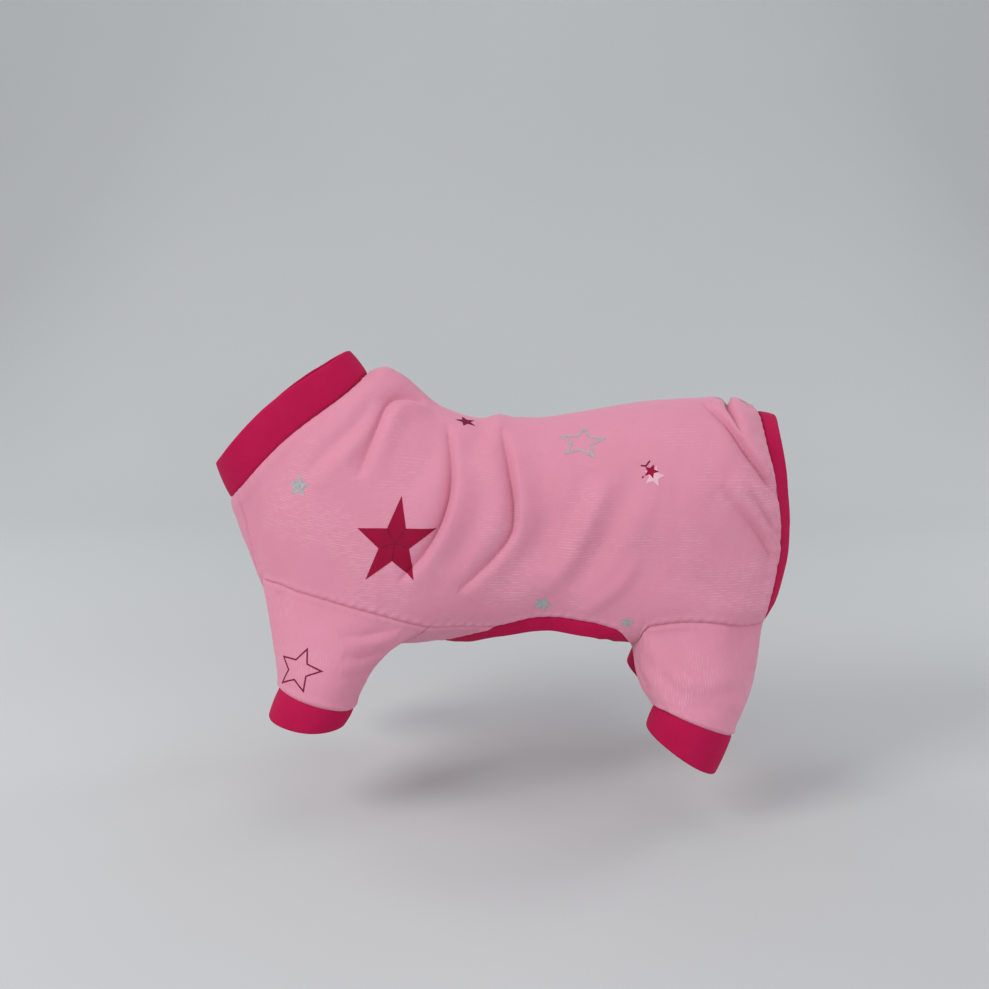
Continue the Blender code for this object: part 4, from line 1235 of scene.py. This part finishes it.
# plum lines: printed outline stars and scratches, and the painted shade lines on the big star
lines = [
    ("body", BIG_STAR, bars(star_facet_shade_lines, 0.00045, 24), 1.9 * PRINT_LIFT),
    star("body", (0.278, -0.052), 0.0070, 0.42, 118),
    star(("front", "left"), (59, 0.715), 0.0140, 0.47, 13, 10, 0.0009, (1.02, 0.95)),
    ("body", SMALL_STAR, bars(scratches, 0.0009, 4), PRINT_LIFT),
    star("body", (0.100, 0.560), 0.0140, 0.42, -20, 10, 0.00085),
    star("body", (0.640, 0.560), 0.0150, 0.42, 8, 10, 0.00085),
    star(("hind", "right"), (60, 0.70), 0.0110, 0.42, 40, 8, 0.0008),
]
print_piece("stars_plum_lines", lines, ink("print_and_painted_shade_plum", (0.185, 0.008, 0.045), 0.06))
pale = [
    star("body", (0.763, -0.304), 0.0066, 0.46, 12),
    star("body", (0.572, 0.140), 0.0066, 0.46, 40),
]
print_piece("stars_pale", pale, ink("print_pale", (0.83, 0.50, 0.58), 0.12))
silver = [
    star("body", (0.603, -0.176), 0.0136, 0.46, 2, 10, 0.0013, (1.0, 0.86)),
    star("body", (0.066, -0.553), 0.0068, 0.50, 2),
    star("body", (0.583, -0.690), 0.0062, 0.50, 22),
    star("body", (0.735, -0.716), 0.0044, 0.50, 10, 7),
    star("body", (0.936, 0.040), 0.0060, 0.48, 50),
    star("body", (0.975, -0.020), 0.0052, 0.48, 15),
    star("body", (0.700, 0.230), 0.0136, 0.46, 30, 10, 0.0015),
    star("body", (0.300, 0.600), 0.0064, 0.50, 5),
    star("body", (0.070, 0.260), 0.0064, 0.50, 35),
    star("body", (0.520, 0.600), 0.0060, 0.50, 60),
    star("body", (0.450, 0.060), 0.0064, 0.50, 25),
    star(("front", "right"), (90, 0.50), 0.0060, 0.50, 20),
]
print_piece("stars_silver", silver, glitter("print_silver", (0.52, 0.53, 0.55)))

# Floor, light and camera
FLOOR_LEVEL = -0.246
FLOOR_HALF = 2.6
FLOOR_FRONT = -1.6
BEND_FROM = 0.75
BEND_RADIUS = 0.55
WALL_TOP = 2.2
CAMERA_TILT = 12
CAMERA_AIM = (-0.050, -0.0506)
CAMERA_DISTANCE = 0.847
PICTURE_SIDE = 989
FOCAL_PIXELS = 1323


def make_floor():
    """A pale floor that bends up into a wall behind."""
    profile = [(FLOOR_FRONT, FLOOR_LEVEL), (BEND_FROM, FLOOR_LEVEL)]
    for i in range(1, 13):
        a = math.radians(7.5 * i)
        profile.append((BEND_FROM + BEND_RADIUS * math.sin(a), FLOOR_LEVEL + BEND_RADIUS * (1 - math.cos(a))))
    profile.append((BEND_FROM + BEND_RADIUS, WALL_TOP))
    mesh = bpy.data.meshes.new("floor")
    points = [(x, y, z) for y, z in profile for x in (-FLOOR_HALF, FLOOR_HALF)]
    faces = [(2 * i, 2 * i + 1, 2 * i + 3, 2 * i + 2) for i in range(len(profile) - 1)]
    mesh.from_pydata(points, [], faces)
    mesh.polygons.foreach_set("use_smooth", np.full(len(faces), True))
    material, tree, shader = tree_of("floor_paper")
    soft = ramp(tree, noise(tree, 3.0, 2.0), 0.3, 0.7)
    base = mix(tree, soft, (0.570, 0.584, 0.586), (0.583, 0.596, 0.598))
    set_inputs(tree, shader, {"Base_Color": base, "Roughness": 0.9, "Specular_IOR_Level": 0.1})
    mesh.materials.append(material)
    floor = bpy.data.objects.new("floor", mesh)
    bpy.context.scene.collection.objects.link(floor)


def area_light(name, place, aim, size, power, colour):
    light = bpy.data.lights.new(name, "AREA")
    light.shape = "RECTANGLE"
    light.size, light.size_y = size
    light.energy = power
    light.color = colour
    lamp = bpy.data.objects.new(name, light)
    lamp.location = place
    lamp.rotation_euler = (Vector(aim) - Vector(place)).to_track_quat("-Z", "Y").to_euler()
    bpy.context.scene.collection.objects.link(lamp)


make_floor()
COOL_LIGHT = (0.98, 0.99, 1.0)
area_light("key", (-1.00, -0.70, 0.80), (-0.05, 0, -0.08), (0.55, 0.55), 9.0, (1.0, 0.985, 0.97))
area_light("fill", (0.9, -1.5, 0.5), (-0.05, 0, -0.1), (1.4, 1.2), 8.2, (0.965, 0.98, 1.0))
area_light("back_right", (0.95, 0.62, 0.45), (0, 0, -0.1), (0.5, 0.5), 2.6, COOL_LIGHT)
area_light("back_left", (-0.95, 0.62, 0.45), (0, 0, -0.1), (0.5, 0.5), 2.2, COOL_LIGHT)
area_light("top", (0.1, 0.1, 1.5), (0, 0, -0.1), (1.3, 1.2), 2.2, COOL_LIGHT)

world = bpy.data.worlds.new("studio")
world.use_nodes = True
set_inputs(world.node_tree, world.node_tree.nodes["Background"], {"Color": (0.93, 0.95, 1.0, 1), "Strength": 0.52})
bpy.context.scene.world = world

camera = bpy.data.objects.new("camera", bpy.data.cameras.new("camera"))
tilt = math.radians(CAMERA_TILT)
rise = CAMERA_DISTANCE * math.sin(tilt)
camera.location = (CAMERA_AIM[0], -CAMERA_DISTANCE * math.cos(tilt), CAMERA_AIM[1] + rise)
camera.rotation_euler = (math.radians(90 - CAMERA_TILT), 0, 0)
camera.data.sensor_width = 36
camera.data.lens = camera.data.sensor_width * FOCAL_PIXELS / PICTURE_SIDE
bpy.context.scene.collection.objects.link(camera)
bpy.context.scene.camera = camera
bpy.context.scene.view_settings.view_transform = "Standard"
bpy.context.scene.view_settings.look = "None"
